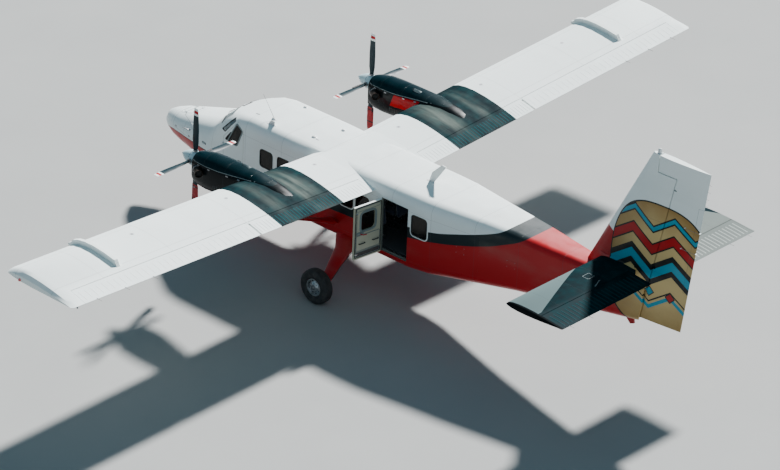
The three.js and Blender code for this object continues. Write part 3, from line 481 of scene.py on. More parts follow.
# Dark panel behind the propellers, between two distances from the middle of the wing
PANEL_SPAN = (1.87, 3.78)
ENGINE_X = 2.827
SPAR_STATIONS = (5.62, 6.7)
SPAR_RIVETS = (5.64, 6.68)
WING_JOINTS = (*PANEL_SPAN, 4.41, 6.6, 8.6)


def wing_panel(shader):
    return shader.across.between(*PANEL_SPAN)


def wing_color(shader):
    """White, with a dark panel behind each nacelle that soot has streaked."""
    station, distance = shader.station, ENGINE_X - shader.across
    inboard = distance.ramp(0.12, 0.3) & distance.ramp(0.5, 0.84, 1.0, 0.0)
    outboard = distance.ramp(-0.28, -0.42) & distance.ramp(-0.74, -0.52)
    streaks = shader.noise(2.0, 6, (2.4, 0.35, 1)).ramp(0.28, 0.66)
    aft = station.ramp(5.35, 6.2, 0.15, 1.0)
    amount = (inboard | outboard * 0.5) & streaks & aft & station.ramp(6.7, 6.95, 1.0, 0.25)
    mottled = shader.mix(shader.noise(4, 7).ramp(0.42, 0.72), TEAL_BLACK, (0.001, 0.026, 0.029))
    return shader.mix(wing_panel(shader), WHITE, shader.mix(amount * 0.8, mottled, SOOT))


def bead_highlight_wing_color(shader):
    """The wing's colours, with the dark panel a little lighter: a painted highlight on the beads."""
    return shader.mix(wing_panel(shader), WHITE, (0.004, 0.052, 0.06))


def wing_paint():
    shader = Shader("wing_paint")
    station, across = shader.station, shader.across
    seams = station.lines(SPAR_STATIONS, SEAM) | across.lines(WING_JOINTS, SEAM)
    rivets = across.rivets(station - SPAR_RIVETS[0]) | across.rivets(station - SPAR_RIVETS[1])
    rivets = rivets | station.rivets(across.zigzag(0.275) - 0.02)
    return shader.painted(wing_color(shader), seams, rivets, 0.06, 0.0, wing_panel(shader), 0.02)


def panel_paint(name, color_of, matt_of):
    """Paint whose colour follows the place on the aeroplane, without seams."""
    shader = Shader(name)
    return shader.painted(color_of(shader), None, None, 0.06, 0.0, matt_of(shader), 0.02)


# Nacelle: the pale line's height along it
STRIPE_RISE = (
    (3.85, 2.93), (4.0, 2.94), (4.33, 2.96), (4.72, 2.98), (5.09, 3.02), (5.46, 3.06),
    (5.8, 3.092),
)


def nacelle_paint():
    shader = Shader("nacelle_paint")
    station = shader.station
    along = shader.z - station.curve(STRIPE_RISE)
    patch = (shader.across < ENGINE_X) & along.between(-0.31, -0.025)
    patch = patch & (station > 4.74 + along * 0.35) & (station < 5.5 + along * 0.45)
    # Above the pale line the black top gets a mottled teal tint: painted sky reflection. Below the line it
    # stays plain black.
    color = shader.mix(shader.noise(3, 6).ramp(0.4, 0.75), TEAL_BLACK, (0.002, 0.013, 0.018))
    color = shader.mix(along < 0.0, color, BLACK)
    streaks = shader.noise(2.0, 7, (3.2, 0.4, 1)).ramp(0.4, 0.62)
    soot = station.ramp(5.2, 6.3) & streaks & (along > 0.0)
    color = shader.mix(patch, shader.mix(soot * 0.08, color, SOOT), RED)
    rivets = shader.z.rivets(station - 4.945) | station.rivets(along - 0.02)
    return shader.painted(color, station.lines((4.28, 4.92, 5.6), 0.008), rivets, 0.012, 0.07, None,
                          0.05, (0.22, 0.34))


def port_side(shader):
    return shader.x > 0.0


def tailplane_color(shader):
    """Dark, with a light wedge along the leading edge that widens towards the tip. The starboard side is
    pale grey instead, with a dark corner near the tip: painted glare on the dark paint.
    """
    across, port = shader.across, port_side(shader)
    chordwise = shader.station - 13.13
    wedge = chordwise < across.ramp(0.95, 3.0, 0.02, 0.84)
    corner = chordwise < across.ramp(2.8, 3.15, 0.0, 0.7)
    dark = shader.mix(shader.noise(3, 6).ramp(0.4, 0.75), TEAL_BLACK, (0.001, 0.026, 0.03))
    color = shader.mix(wedge, dark, (0.11, 0.155, 0.155))
    # Starboard: pale grey, a painted glare highlight over the dark paint, with a dark corner near the tip.
    pale = shader.mix(corner, (0.12, 0.14, 0.13), TEAL_BLACK)
    return shader.mix(port & (across > 3.09), shader.mix(port, pale, color), BLACK)


def bead_tail_color(shader):
    """Beads catch the light: dull teal on the port side, pale on the other."""
    return shader.mix(port_side(shader), (0.34, 0.37, 0.35), (0.004, 0.034, 0.04))


def tailplane_paint():
    shader = Shader("tailplane_paint")
    seams = shader.across.lines((0.9, 1.7, 2.5), SEAM)
    rivets = shader.station.rivets(shader.across.zigzag(0.4) - 0.02)
    return shader.painted(tailplane_color(shader), seams, rivets, 0.1, 0.0, port_side(shader), 0.02)


# Propeller hub
PROP = Vector((ENGINE_X, at(3.745), 2.831))


def propeller_finish(side):
    shader = Shader("propeller_finish_" + ("port" if side > 0 else "starboard"))
    lengths = [shader.x - side * PROP.x, shader.z - PROP.z]
    radius = (lengths[0] * lengths[0] + lengths[1] * lengths[1]).math("SQRT")
    worn = shader.noise(5, 7).ramp(0.5, 0.8, 0.0, 0.15)
    color = shader.mix(worn, (0.002, 0.018, 0.024), (0.05, 0.07, 0.075))
    color = shader.mix(radius.between(1.04, 1.09) | (radius > 1.16), color, WHITE)
    color = shader.mix(radius.between(1.09, 1.16), color, RED)
    return shader.set(Base_Color=shader.mix(radius < 0.176, color, SPINNER_BLUE),
                      Roughness=shader.rough(6, 4, 0.36, 0.5), Specular_IOR_Level=0.15, Coat_Weight=0.06)


def shade(color, factor):
    return tuple(factor * part for part in color)


def metal(name, color, roughness=0.35):
    shader = Shader(name, metallic=1.0)
    worn, grain = shader.noise(14, 5).ramp(0.35, 0.7), shader.noise(60, 3)
    shader.bump(grain, 0.0004, 0.3)
    return shader.set(Base_Color=shader.mix(worn, color, shade(color, 0.72)),
                      Roughness=grain.ramp(0.3, 0.7, roughness - 0.08, roughness + 0.12))


def rubber(name, color):
    shader = Shader(name)
    dust = shader.noise(9, 5).ramp(0.42, 0.8, 0.0, 0.35)
    shader.bump(shader.noise(160, 2), 0.001, 0.4)
    return shader.set(Base_Color=shader.mix(dust, color, (0.12, 0.11, 0.1)),
                      Roughness=shader.rough(20, 3, 0.72, 0.9))


def plastic(name, color, roughness=0.55):
    shader = Shader(name)
    mottle = shader.noise(7, 5).ramp(0.4, 0.75, 0.0, 0.25)
    shader.bump(shader.noise(220, 2), 0.0008, 0.35)
    return shader.set(Base_Color=shader.mix(mottle, color, shade(color, 0.6)),
                      Roughness=shader.rough(24, 3, roughness - 0.1, roughness + 0.1))


def cloth(name, color, thread=0.0035, sheen=0.4):
    """A plain weave with soft wear."""
    shader = Shader(name)
    waves = [
        (place * (2 * math.pi / thread)).math("SINE")
        for place in (shader.x + shader.y, shader.z - shader.y)
    ]
    weave = (waves[0] * waves[1]).ramp(-0.6, 0.6)
    worn = shader.noise(6, 5).ramp(0.42, 0.75, 0.0, 0.35)
    base = shader.mix(worn, color, tuple(min(1, 1.7 * c + 0.02) for c in color))
    shader.bump(weave, 0.0006, 0.5)
    return shader.set(Base_Color=shader.mix(weave, shade(color, 0.7), base),
                      Roughness=shader.rough(18, 3, 0.78, 0.95), Sheen_Weight=sheen)


def glass(name, tint, alpha):
    shader = Shader(name)
    rough = shader.noise(3, 4).ramp(0.4, 0.8, 0.02, 0.1)
    return shader.set(Base_Color=tint, Roughness=rough, Alpha=alpha, Specular_IOR_Level=0.15,
                      Coat_Weight=0.08, Coat_Roughness=0.02)


def lens(name, color, glow=0.0):
    """Moulded lens of a lamp, with fine ribs."""
    shader = Shader(name, roughness=0.08)
    ribs = (shader.z * 700).math("SINE")
    shader.bump(ribs, 0.0008, 0.5)
    if glow:
        shader.set(Emission_Color=color, Emission_Strength=glow)
    return shader.set(Base_Color=shader.mix(ribs.ramp(-1, 1, 0.0, 0.35), color, (0.9, 0.9, 0.9)),
                      Transmission_Weight=0.25)


def carpet():
    shader = Shader("carpet")
    tuft = shader.noise(240, 2)
    shader.bump(tuft, 0.002, 0.8)
    return shader.set(Base_Color=shader.mix(tuft, (0.03, 0.035, 0.04), (0.085, 0.09, 0.095)),
                      Roughness=shader.rough(40, 2, 0.85, 0.98))


def make_floor():
    shader = Shader("floor", roughness=0.85)
    grey = shader.mix(shader.noise(0.4, 3), (0.27, 0.272, 0.265), (0.31, 0.312, 0.3))
    mesh = bpy.data.meshes.new("floor")
    corners = [(FLOOR_REACH * x, FLOOR_REACH * y, 0) for x, y in ((-1, -1), (1, -1), (1, 1), (-1, 1))]
    mesh.from_pydata(corners, [], [(0, 1, 2, 3)])
    mesh.materials.append(shader.set(Base_Color=grey))
    link_object("floor", mesh)


# Smooth shading for the CAD skins, by a modifier that leaves their meshes alone
WELD_DISTANCE = 0.0004
SHARP_ANGLE = math.radians(31)


def smooth_group():
    group = bpy.data.node_groups.new("smooth_by_angle", "GeometryNodeTree")
    for way in ("INPUT", "OUTPUT"):
        group.interface.new_socket("Geometry", in_out=way, socket_type="NodeSocketGeometry")
    make = group.nodes.new
    start, end = make("NodeGroupInput"), make("NodeGroupOutput")
    weld = make("GeometryNodeMergeByDistance")
    weld.inputs["Distance"].default_value = WELD_DISTANCE
    bare = make("GeometryNodeRemoveAttribute")
    bare.inputs["Name"].default_value = "custom_normal"
    faces = make("GeometryNodeSetShadeSmooth")
    edges = make("GeometryNodeSetShadeSmooth")
    edges.domain = "EDGE"
    edges.inputs["Shade Smooth"].default_value = False
    angle = make("GeometryNodeInputMeshEdgeAngle")
    sharp = make("FunctionNodeCompare")
    sharp.operation = "GREATER_THAN"
    sharp.inputs["B"].default_value = SHARP_ANGLE
    for source, target in (
        (start.outputs[0], weld.inputs["Geometry"]),
        (weld.outputs["Geometry"], bare.inputs["Geometry"]),
        (bare.outputs["Geometry"], faces.inputs["Geometry"]),
        (faces.outputs["Geometry"], edges.inputs["Geometry"]),
        (angle.outputs["Unsigned Angle"], sharp.inputs["A"]),
        (sharp.outputs["Result"], edges.inputs["Selection"]),
        (edges.outputs["Geometry"], end.inputs[0]),
    ):
        group.links.new(source, target)
    return group


SMOOTH = smooth_group()


# Flat outlines, as lists of 2-D points
def rounded(corners, radius, steps=5):
    """A polygon with every corner rounded."""
    corners = [Vector(corner) for corner in corners]
    outline = []
    for i, corner in enumerate(corners):
        before, after = corners[i - 1] - corner, corners[(i + 1) % len(corners)] - corner
        cut = min(radius, 0.48 * before.length, 0.48 * after.length)
        start, end = corner + before.normalized() * cut, corner + after.normalized() * cut
        for k in range(steps + 1):
            part = k / steps
            outline.append(start.lerp(corner, part).lerp(corner.lerp(end, part), part))
    return outline


def rectangle(low, high, radius=0.0, steps=5):
    corners = [(low[0], low[1]), (high[0], low[1]), (high[0], high[1]), (low[0], high[1])]
    return rounded(corners, radius, steps) if radius else [Vector(c) for c in corners]


def circle(steps, extra=0):
    """Equal steps of a full turn, in radians."""
    return [2 * math.pi * k / steps for k in range(steps + extra)]


def disc(centre, radius, steps=24):
    return [Vector(centre) + Vector((math.cos(a), math.sin(a))) * radius for a in circle(steps)]


def fine(outline, longest=0.12):
    """The same outline with its long edges divided."""
    spots = []
    for i, spot in enumerate(outline):
        after = outline[(i + 1) % len(outline)]
        steps = max(1, math.ceil((after - spot).length / longest))
        spots += [spot.lerp(after, k / steps) for k in range(steps)]
    return spots


def outward_sides(outline):
    area = sum(a.x * b.y - b.x * a.y for a, b in zip(outline, outline[1:] + outline[:1]))
    turn = 1 if area > 0 else -1
    sides = []
    for i, spot in enumerate(outline):
        along = outline[(i + 1) % len(outline)] - outline[i - 1]
        if along.length < 1e-9:
            along = outline[(i + 1) % len(outline)] - spot
        along.normalize()
        sides.append(Vector((along.y, -along.x)) * turn)
    return sides


def heading(path, i):
    """The direction of a path at one of its points."""
    return (path[min(i + 1, len(path) - 1)] - path[max(i - 1, 0)]).normalized()


def strip(half, low, high):
    """The section of a flat strip, as rows of outward and rise."""
    return (-half, low), (-half, high), (half, high), (half, low)


def stub(radius, height, start=0.0):
    """The profile of a short cylinder, as rows of radius and distance along its axis."""
    return (0.0, start), (radius, start), (radius, start + height), (0.0, start + height)


class Form:
    """Points and faces of one piece, put together part by part. A part's paint is the number of
    its material on the piece."""

    def __init__(self):
        self.points, self.faces, self.paints = [], [], []

    def part(self, points, faces, paints):
        start = len(self.points)
        self.points += points
        self.faces += [tuple(start + i for i in face) for face in faces]
        self.paints += paints

    def add(self, other, matrix=Matrix.Identity(4)):
        """Adds a moved copy of another form."""
        self.part([matrix @ point for point in other.points], other.faces, other.paints)
        return self

    def loft(self, rings, paint=0, ends=True):
        count = len(rings[0])
        last = (len(rings) - 1) * count
        faces = [
            (start + j, start + (j + 1) % count, start + (j + 1) % count + count, start + j + count)
            for start in range(0, last, count) for j in range(count)
        ]
        if ends:
            faces += [tuple(reversed(range(count))), tuple(range(last, last + count))]
        self.part([Vector(point) for ring in rings for point in ring], faces, [paint] * len(faces))

    def tube(self, path, radius, sides=10, paint=0):
        path = [Vector(spot) for spot in path]
        side = None
        rings = []
        for i, spot in enumerate(path):
            along = heading(path, i)
            side = along.orthogonal() if side is None else side - along * side.dot(along)
            side.normalize()
            across = along.cross(side)
            size = radius[i] if isinstance(radius, tuple) else radius
            rings.append([
                spot + (side * math.cos(a) + across * math.sin(a)) * size for a in circle(sides)
            ])
        self.loft(rings, paint)

    def turned(self, centre, axis, profile, steps=24, paint=0):
        """A profile of (radius, distance along the axis), turned about the axis. It is closed with
        flat ends, unless it ends where it starts."""
        axis = Vector(axis).normalized()
        side = axis.orthogonal().normalized()
        across = axis.cross(side)
        self.loft([
            [
                Vector(centre) + axis * along
                + (side * math.cos(a) + across * math.sin(a)) * max(radius, 0.0003)
                for a in circle(steps)
            ]
            for radius, along in profile
        ], paint, profile[0] != profile[-1])

    def block(self, centre, half, edge=0.004, paint=0, turn=Matrix.Identity(3)):
        """A bar with chamfered edges along its longest side."""
        centre = Vector(centre)
        long_axis = max(range(3), key=lambda k: half[k])
        u, v = [k for k in range(3) if k != long_axis]
        edge = min(edge, 0.45 * min(half))
        rings = []
        for along, inwards in (
            (-half[long_axis], edge), (-half[long_axis] + edge, 0.0),
            (half[long_axis] - edge, 0.0), (half[long_axis], edge),
        ):
            ring = []
            a, b = half[u] - inwards, half[v] - inwards
            for p, q in (
                (a, b - edge), (a - edge, b), (edge - a, b), (-a, b - edge),
                (-a, edge - b), (edge - a, -b), (a - edge, -b), (a, edge - b),
            ):
                spot = Vector((0, 0, 0))
                spot[long_axis], spot[u], spot[v] = along, p, q
                ring.append(centre + turn @ spot)
            rings.append(ring)
        self.loft(rings, paint)

    def patch(self, outline, place, low, high, paint=0):
        """A thin panel within a flat outline, laid on a surface by place(u, v, rise)."""
        middle = sum(outline, Vector((0, 0))) / len(outline)
        scales = (1.0, 0.85, 0.55, 0.25)
        count = len(outline)
        layer = count * len(scales) + 1
        points, faces = [], []
        for number, rise in enumerate((high, low)):
            start = number * layer
            for scale in scales:
                points += [place(*(middle + (spot - middle) * scale), rise) for spot in outline]
            points.append(place(*middle, rise))
            for ring in range(len(scales) - 1):
                for j in range(count):
                    a, b = start + ring * count + j, start + ring * count + (j + 1) % count
                    faces.append((a, b, b + count, a + count))
            inner = start + (len(scales) - 1) * count
            faces += [(inner + j, inner + (j + 1) % count, start + layer - 1) for j in range(count)]
        faces += [(j, (j + 1) % count, layer + (j + 1) % count, layer + j) for j in range(count)]
        self.part(points, faces, [paint] * len(faces))

    def plate(self, low, high, corner, place, bottom, top, paint=0, longest=None):
        """A thin panel within a rectangle."""
        outline = rectangle(low, high, corner)
        self.patch(fine(outline, longest) if longest else outline, place, bottom, top, paint)

    def button(self, centre, radius, place, bottom, top, paint=0, steps=24):
        self.patch(disc(centre, radius, steps), place, bottom, top, paint)

    def frame(self, outline, place, section, paint=0):
        """A closed trim run round a flat outline. The section is rows of outward and rise."""
        rings = [
            [place(*(spot + side * out), rise) for out, rise in section]
            for spot, side in zip(outline, outward_sides(outline))
        ]
        self.loft([*rings, rings[0]], paint, False)

    def ridge(self, path, place, width, height, paint=0):
        """A raised bead along a flat path, with its ends run out."""
        path = [Vector(spot) for spot in path]
        rings = []
        for i, spot in enumerate(path):
            along = heading(path, i)
            side = Vector((along.y, -along.x))
            rise = 0.0 if i in (0, len(path) - 1) else height
            rings.append([
                place(*(spot + side * out * width), up * rise + down)
                for out, up, down in (
                    (-0.5, 0, -0.003), (-0.5, 0, 0.0005), (-0.28, 0.6, 0.0005), (0, 1, 0.0005),
                    (0.28, 0.6, 0.0005), (0.5, 0, 0.0005), (0.5, 0, -0.003),
                )
            ])
        self.loft(rings, paint)


MIRROR = Matrix.Diagonal((-1, 1, 1, 1))
JOIN_DISTANCE = 1e-5


def make(name, form, body, slot, looks, smooth=35, swing=None):
    """Builds the piece, closed and facing outwards, and lets it ride on a body. Its looks are
    named in the order of the form's paint numbers."""
    mesh = bpy.data.meshes.new(name)
    mesh.from_pydata([tuple(point) for point in form.points], [], form.faces)
    for polygon, paint in zip(mesh.polygons, form.paints):
        polygon.material_index = paint
    shape = bmesh.new()
    shape.from_mesh(mesh)
    bmesh.ops.remove_doubles(shape, verts=shape.verts, dist=JOIN_DISTANCE)
    bmesh.ops.recalc_face_normals(shape, faces=shape.faces)
    shape.to_mesh(mesh)
    shape.free()
    if swing:
        mesh.transform(swing)
    for look in looks.split():
        mesh.materials.append(LOOK[look])
    mesh.shade_smooth()
    mesh.set_sharp_from_angle(angle=math.radians(smooth))
    piece = link_object(name, mesh)
    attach(piece, body)
    return piece


def make_pair(name, form, body, slot, looks, smooth=35):
    """The form as it is to port, and mirrored to starboard. A body with a pair of its own is given
    by the first part of its name. It gives the pieces by side."""
    pieces = {}
    for side in SIDES:
        ridden = f"{body}_{side}" if f"{body}_{side}" in frame["bodies"] else body
        turned = form if side == "port" else Form().add(form, MIRROR)
        pieces[side] = make(f"{name}_{side}", turned, ridden, slot, looks, smooth)
    return pieces


# Fuselage skin. Each row is station, half width, bottom, top, corner radius above and below.
SKIN_ROWS = (
    (0.0, 0.03, 1.44, 1.56, 0.029, 0.029), (0.05, 0.065, 1.395, 1.635, 0.064, 0.064),
    (0.15, 0.15, 1.36, 1.8, 0.148, 0.148), (0.3, 0.28, 1.345, 1.89, 0.265, 0.255),
    (0.5, 0.4, 1.33, 1.95, 0.305, 0.305), (0.8, 0.52, 1.31, 2.015, 0.35, 0.35),
    (1.2, 0.63, 1.27, 2.12, 0.42, 0.41), (1.65, 0.715, 1.21, 2.245, 0.47, 0.4),
    (2.05, 0.78, 1.15, 2.36, 0.5, 0.35), (2.12, 0.788, 1.14, 2.395, 0.52, 0.345),
    (2.5, 0.825, 1.11, 2.76, 0.57, 0.31), (2.75, 0.85, 1.09, 2.84, 0.43, 0.28),
    (3.05, 0.87, 1.08, 2.915, 0.29, 0.26), (3.4, 0.87, 1.08, 2.965, 0.26, 0.26),
    (5.0, 0.87, 1.08, 2.97, 0.26, 0.26), (5.7, 0.87, 1.08, 2.95, 0.26, 0.26),
    (8.3, 0.87, 1.1, 2.95, 0.26, 0.26), (8.85, 0.85, 1.16, 2.95, 0.26, 0.26),
    (10.2, 0.65, 1.38, 2.94, 0.23, 0.23), (11.1, 0.535, 1.54, 2.925, 0.2, 0.2),
    (12.55, 0.35, 1.74, 2.86, 0.16, 0.16), (14.33, 0.15, 1.985, 2.8, 0.11, 0.11),
)
CORNER_STEPS = 4
SAMPLE = 0.02


def row_at(rows, value):
    """The rows' numbers at a value of the first one, in line between two rows."""
    for low, high in zip(rows, rows[1:]):
        if value <= high[0]:
            break
    part = (value - low[0]) / (high[0] - low[0])
    return [a + (b - a) * part for a, b in zip(low, high)]


def skin_ring(station):
    """The skin's port half at a station: X and Z, from the middle of the roof downwards."""
    _, half, bottom, top, above, below = row_at(SKIN_ROWS, station)
    ring = [(0.0, top)]
    for radius, level, way in ((above, top - above, 1), (below, bottom + below, -1)):
        for k in range(CORNER_STEPS + 1):
            step = k if way < 0 else CORNER_STEPS - k
            angle = step / CORNER_STEPS * math.pi / 2
            ring.append((
                half - radius + radius * math.cos(angle),
                level + way * radius * math.sin(angle),
            ))
    return [*ring, (0.0, bottom)]


def skin_side(station, height):
    """The skin's X at a height, to port."""
    ring = skin_ring(station)
    for (xa, za), (xb, zb) in zip(ring[1:], ring[2:]):
        if zb <= height <= za and za > zb:
            return xa + (xb - xa) * (za - height) / (za - zb)
    return ring[1][0] if height > ring[1][1] else ring[-2][0]


def skin_roof(station, across, way=1):
    """The skin's height over a distance from the middle, or its underside where way is -1."""
    ring = skin_ring(station)
    half = ring[: CORNER_STEPS + 2] if way > 0 else ring[:CORNER_STEPS:-1]
    for (xa, za), (xb, zb) in zip(half, half[1:]):
        if xa <= across <= xb and xb > xa:
            return za + (zb - za) * (across - xa) / (xb - xa)
    return half[-1][1]


def side_place(side=1):
    """Lays a flat (station, height) on the fuselage's side."""
    def place(station, height, rise):
        lean_y = skin_side(station + SAMPLE, height) - skin_side(station - SAMPLE, height)
        lean_z = skin_side(station, height + SAMPLE) - skin_side(station, height - SAMPLE)
        out = Vector((1, -lean_y / (2 * SAMPLE), -lean_z / (2 * SAMPLE))).normalized()
        spot = Vector((skin_side(station, height), at(station), height)) + out * rise
        return Vector((side * spot.x, spot.y, spot.z))
    return place


def roof_place(way=1):
    """Lays a flat (across, station) on the roof, or on the belly where way is -1."""
    def place(across, station, rise):
        reach = abs(across)
        z = skin_roof(station, reach, way)
        lean_x = skin_roof(station, reach + SAMPLE, way) - skin_roof(station, max(reach - SAMPLE, 0), way)
        lean_y = skin_roof(station + SAMPLE, reach, way) - skin_roof(station - SAMPLE, reach, way)
        lean_x *= math.copysign(1, across) if reach > SAMPLE else 0.0
        out = Vector((-lean_x / (2 * SAMPLE), -lean_y / (2 * SAMPLE), 1)).normalized() * way
        return Vector((across, at(station), z)) + out * rise
    return place


TREES = {}


def hit(node, start, way):
    """Where a ray meets a CAD node."""
    if node not in TREES:
        mesh = NODES[node].data
        TREES[node] = BVHTree.FromPolygons(
            [vertex.co for vertex in mesh.vertices], [face.vertices for face in mesh.polygons]
        )
    spot = TREES[node].ray_cast(Vector(start), Vector(way))[0]
    if spot is None:
        raise ValueError(f"no surface of {node} at {tuple(round(v, 3) for v in start)}")
    return spot


def cast_place(node, start_of, way):
    """Lays a flat (u, v) on a CAD node, along rays that start at start_of(u, v)."""
    return lambda u, v, rise: hit(node, start_of(u, v), way) - Vector(way) * rise


def over_place(node, up=True):
    """Lays a flat (across, station) on a CAD node from above or from below."""
    height, way = (9.0, (0, 0, -1)) if up else (-1.0, (0, 0, 1))
    return cast_place(node, lambda u, v: (u, at(v), height), way)


# Materials, by use
LOOK = {
    "white": plain_paint("white_paint", WHITE),
    "red": plain_paint("red_paint", RED, 0.25),
    "dark": plain_paint("dark_paint", TEAL_BLACK, 0.2),
    "pinstripe": plain_paint("pinstripe_paint", (0.16, 0.2, 0.2)),
    "rubber": rubber("rubber", (0.018, 0.018, 0.019)),
    "seal": rubber("seal_rubber", (0.012, 0.013, 0.014)),
    "alloy": metal("rim_alloy", (0.6, 0.61, 0.62)),
    "steel": metal("steel", (0.28, 0.28, 0.29), 0.45),
    "chrome": metal("chrome", (0.75, 0.76, 0.77), 0.16),
    "scorched": metal("scorched_steel", (0.055, 0.04, 0.032), 0.6),
    "soot": plastic("soot_black", (0.008, 0.008, 0.008), 0.9),
    "lining": plastic("cabin_lining", CABIN_GREY),
    "door_green": plastic("door_lining", DOOR_GREEN),
    "trim": plastic("cockpit_trim", (0.02, 0.02, 0.022)),
    "dial": plastic("dial_face", (0.01, 0.01, 0.012), 0.35),
    "mark": plastic("dial_mark", (0.8, 0.8, 0.75), 0.5),
    "carpet": carpet(),
    "seat": cloth("seat_cloth", (0.028, 0.045, 0.085)),
    "piping": cloth("seat_piping", (0.16, 0.17, 0.18)),
    "boot": cloth("boot_cloth", (0.34, 0.012, 0.016), 0.006, 0.2),
    "strap": cloth("strap_webbing", (0.02, 0.02, 0.022), 0.003, 0.1),
    # Cabin panes are near black and mostly opaque: a dark glass tint, and painted shade that darkens the
    # cabin seen through them.
    "pane": glass("window_glass", (0.006, 0.005, 0.004), 0.84),
    "shield": glass("windshield_glass", (0.2, 0.27, 0.28), 0.55),
    "red_lens": lens("red_lens", (0.55, 0.01, 0.01), 0.15),
    "green_lens": lens("green_lens", (0.01, 0.35, 0.08), 0.15),
    "clear_lens": lens("clear_lens", (0.75, 0.78, 0.78)),
    "antenna": plastic("antenna_shell", (0.7, 0.71, 0.7), 0.4),
    "nose": fuselage_paint("nose_paint"),
    "shell": fuselage_paint("shell_paint", CABIN_GREY),
    "door": fuselage_paint("door_paint", DOOR_GREEN),
    "open_door": fuselage_paint("open_door_paint", DOOR_GREEN, DOOR_OPEN),
    "tail": tail_paint(),
    "wing": wing_paint(),
    "flap": panel_paint("flap_paint", wing_color, wing_panel),
    # Lighter teal on the flap and aileron beads: a painted highlight.
    "flap_bead": panel_paint("flap_bead_paint", bead_highlight_wing_color, wing_panel),
    "fin": fin_paint(),
    "elevator": panel_paint("elevator_paint", tailplane_color, port_side),
    "elevator_bead": panel_paint("elevator_bead_paint", bead_tail_color, port_side),
    "tailplane": tailplane_paint(),
    "nacelle": nacelle_paint(),
    "propeller_port": propeller_finish(1),
    "propeller_starboard": propeller_finish(-1),
}

# The CAD nodes of each look. A star stands for both sides.
NODES_BY_LOOK = {
    "nose": "fuselage_nose", "shell": "fuselage_cabin", "tail": "fuselage_tail",
    "carpet": "cabin_floor", "lining": "cockpit_bulkhead rear_bulkhead",
    "trim": "instrument_panel control_column", "wing": "wing_centre wing_*", "fin": "fin rudder",
    "red": "nose_leg nose_fork tail_bumper strut_* main_leg_*", "rubber": "nose_tyre main_tyre_*",
    "alloy": "nose_rim main_rim_*", "antenna": "antenna", "open_door": "cabin_door_port",
    "door": "cabin_door_starboard crew_door_*", "seat": "crew_seat_* cabin_seats_*",
    "shield": "windshield_*", "flap": "flap_* aileron_*", "nacelle": "nacelle_*",
    "steel": "engine_*", "boot": "propeller_boot_*", "tailplane": "tailplane_*",
    "elevator": "elevator_*", "propeller_port": "propeller_port",
    "propeller_starboard": "propeller_starboard",
}


def dress_cad():
    for look, names in NODES_BY_LOOK.items():
        for name in names.split():
            for node in dict.fromkeys(name.replace("*", side) for side in SIDES):
                NODES[node].data.materials.clear()
                NODES[node].data.materials.append(LOOK[look])
                NODES[node].modifiers.new("smooth", "NODES").node_group = SMOOTH


# Windows. An outline is station and height, seen from port.
WINDOW_STATIONS = (3.82, 4.36, 4.842, 5.324, 5.806, 6.288, 6.77)
WINDOW_HEIGHTS = (1.995, 2.435)
WINDOW_WIDTH = 0.4
WINDOW_CORNER = 0.09
REAR_WINDOW = ((8.42, 2.04), (8.86, 2.54))
DOOR_WINDOW = ((7.73, 1.995), (8.13, 2.435))
CREW_WINDOW = ((2.815, 2.24), (3.085, 2.24), (3.25, 2.64), (3.08, 2.73))
CREW_QUARTER = ((2.705, 2.255), (2.77, 2.245), (2.905, 2.505))
SIDE_PANE = ((2.56, 2.44), (2.68, 2.42), (2.975, 2.775), (2.895, 2.805))
WINDSHIELD = ((0.035, 2.165), (0.68, 2.43), (0.56, 2.67), (0.035, 2.48))
DOOR_PANEL = ((2.7, 1.5), (3.24, 1.5), (3.24, 2.15), (2.7, 2.15))

# Sections of trim, as rows of outward and rise
SEAL = ((-0.008, -0.016), (-0.01, -0.002), (-0.004, 0.003), (0.009, 0.003), (0.012, 0.0005), (0.012, -0.003))
TRIM = ((0.008, -0.003), (0.009, 0.0035), (0.013, 0.0045), (0.03, 0.004), (0.034, -0.003))
CREW_TRIM = ((0.006, -0.002), (0.007, 0.005), (0.012, 0.0065), (0.034, 0.006), (0.038, -0.002))
SHIELD_SEAL = (
    (-0.01, -0.012), (-0.012, 0.002), (-0.004, 0.005), (0.01, 0.005), (0.014, 0.001), (0.014, -0.003),
)
SHIELD_TRIM = ((0.012, -0.003), (0.013, 0.004), (0.02, 0.005), (0.033, 0.003), (0.035, -0.003))
INNER_TRIM = ((-0.006, -0.046), (-0.006, -0.06), (0.008, -0.066), (0.04, -0.06), (0.046, -0.049))
STOP_SEAL = ((-0.009, -0.0505), (-0.015, -0.056), (-0.009, -0.062), (-0.003, -0.056))
INTAKE_LIP = ((-0.004, -0.03), (-0.006, 0.004), (0.002, 0.011), (0.014, 0.009), (0.024, -0.002))

DOOR_FACE = -0.0495


def window(form, outline, place, depth=0.013, trim=TRIM, pane=0):
    """A pane in its hole, a dark seal round it and a painted trim ring."""
    wider = [spot + side * 0.003 for spot, side in zip(outline, outward_sides(outline))]
    form.patch(wider, place, -depth - 0.006, -depth, pane)
    form.frame(outline, place, SEAL, 1)
    if trim:
        form.frame(outline, place, trim, 2)


def cabin_windows():
    for side, way in SIDES.items():
        place = side_place(way)
        form = Form()
        boxes = [
            ((station, WINDOW_HEIGHTS[0]), (station + WINDOW_WIDTH, WINDOW_HEIGHTS[1]))
            for station in WINDOW_STATIONS
        ]
        for low, high in [*boxes, REAR_WINDOW]:
            window(form, fine(rectangle(low, high, WINDOW_CORNER)), place)
        window(form, fine(rounded(SIDE_PANE, 0.02), 0.04), place, 0.01, None, 3)
        make(f"cabin_windows_{side}", form, "airframe", "glazing", "pane seal white shield")


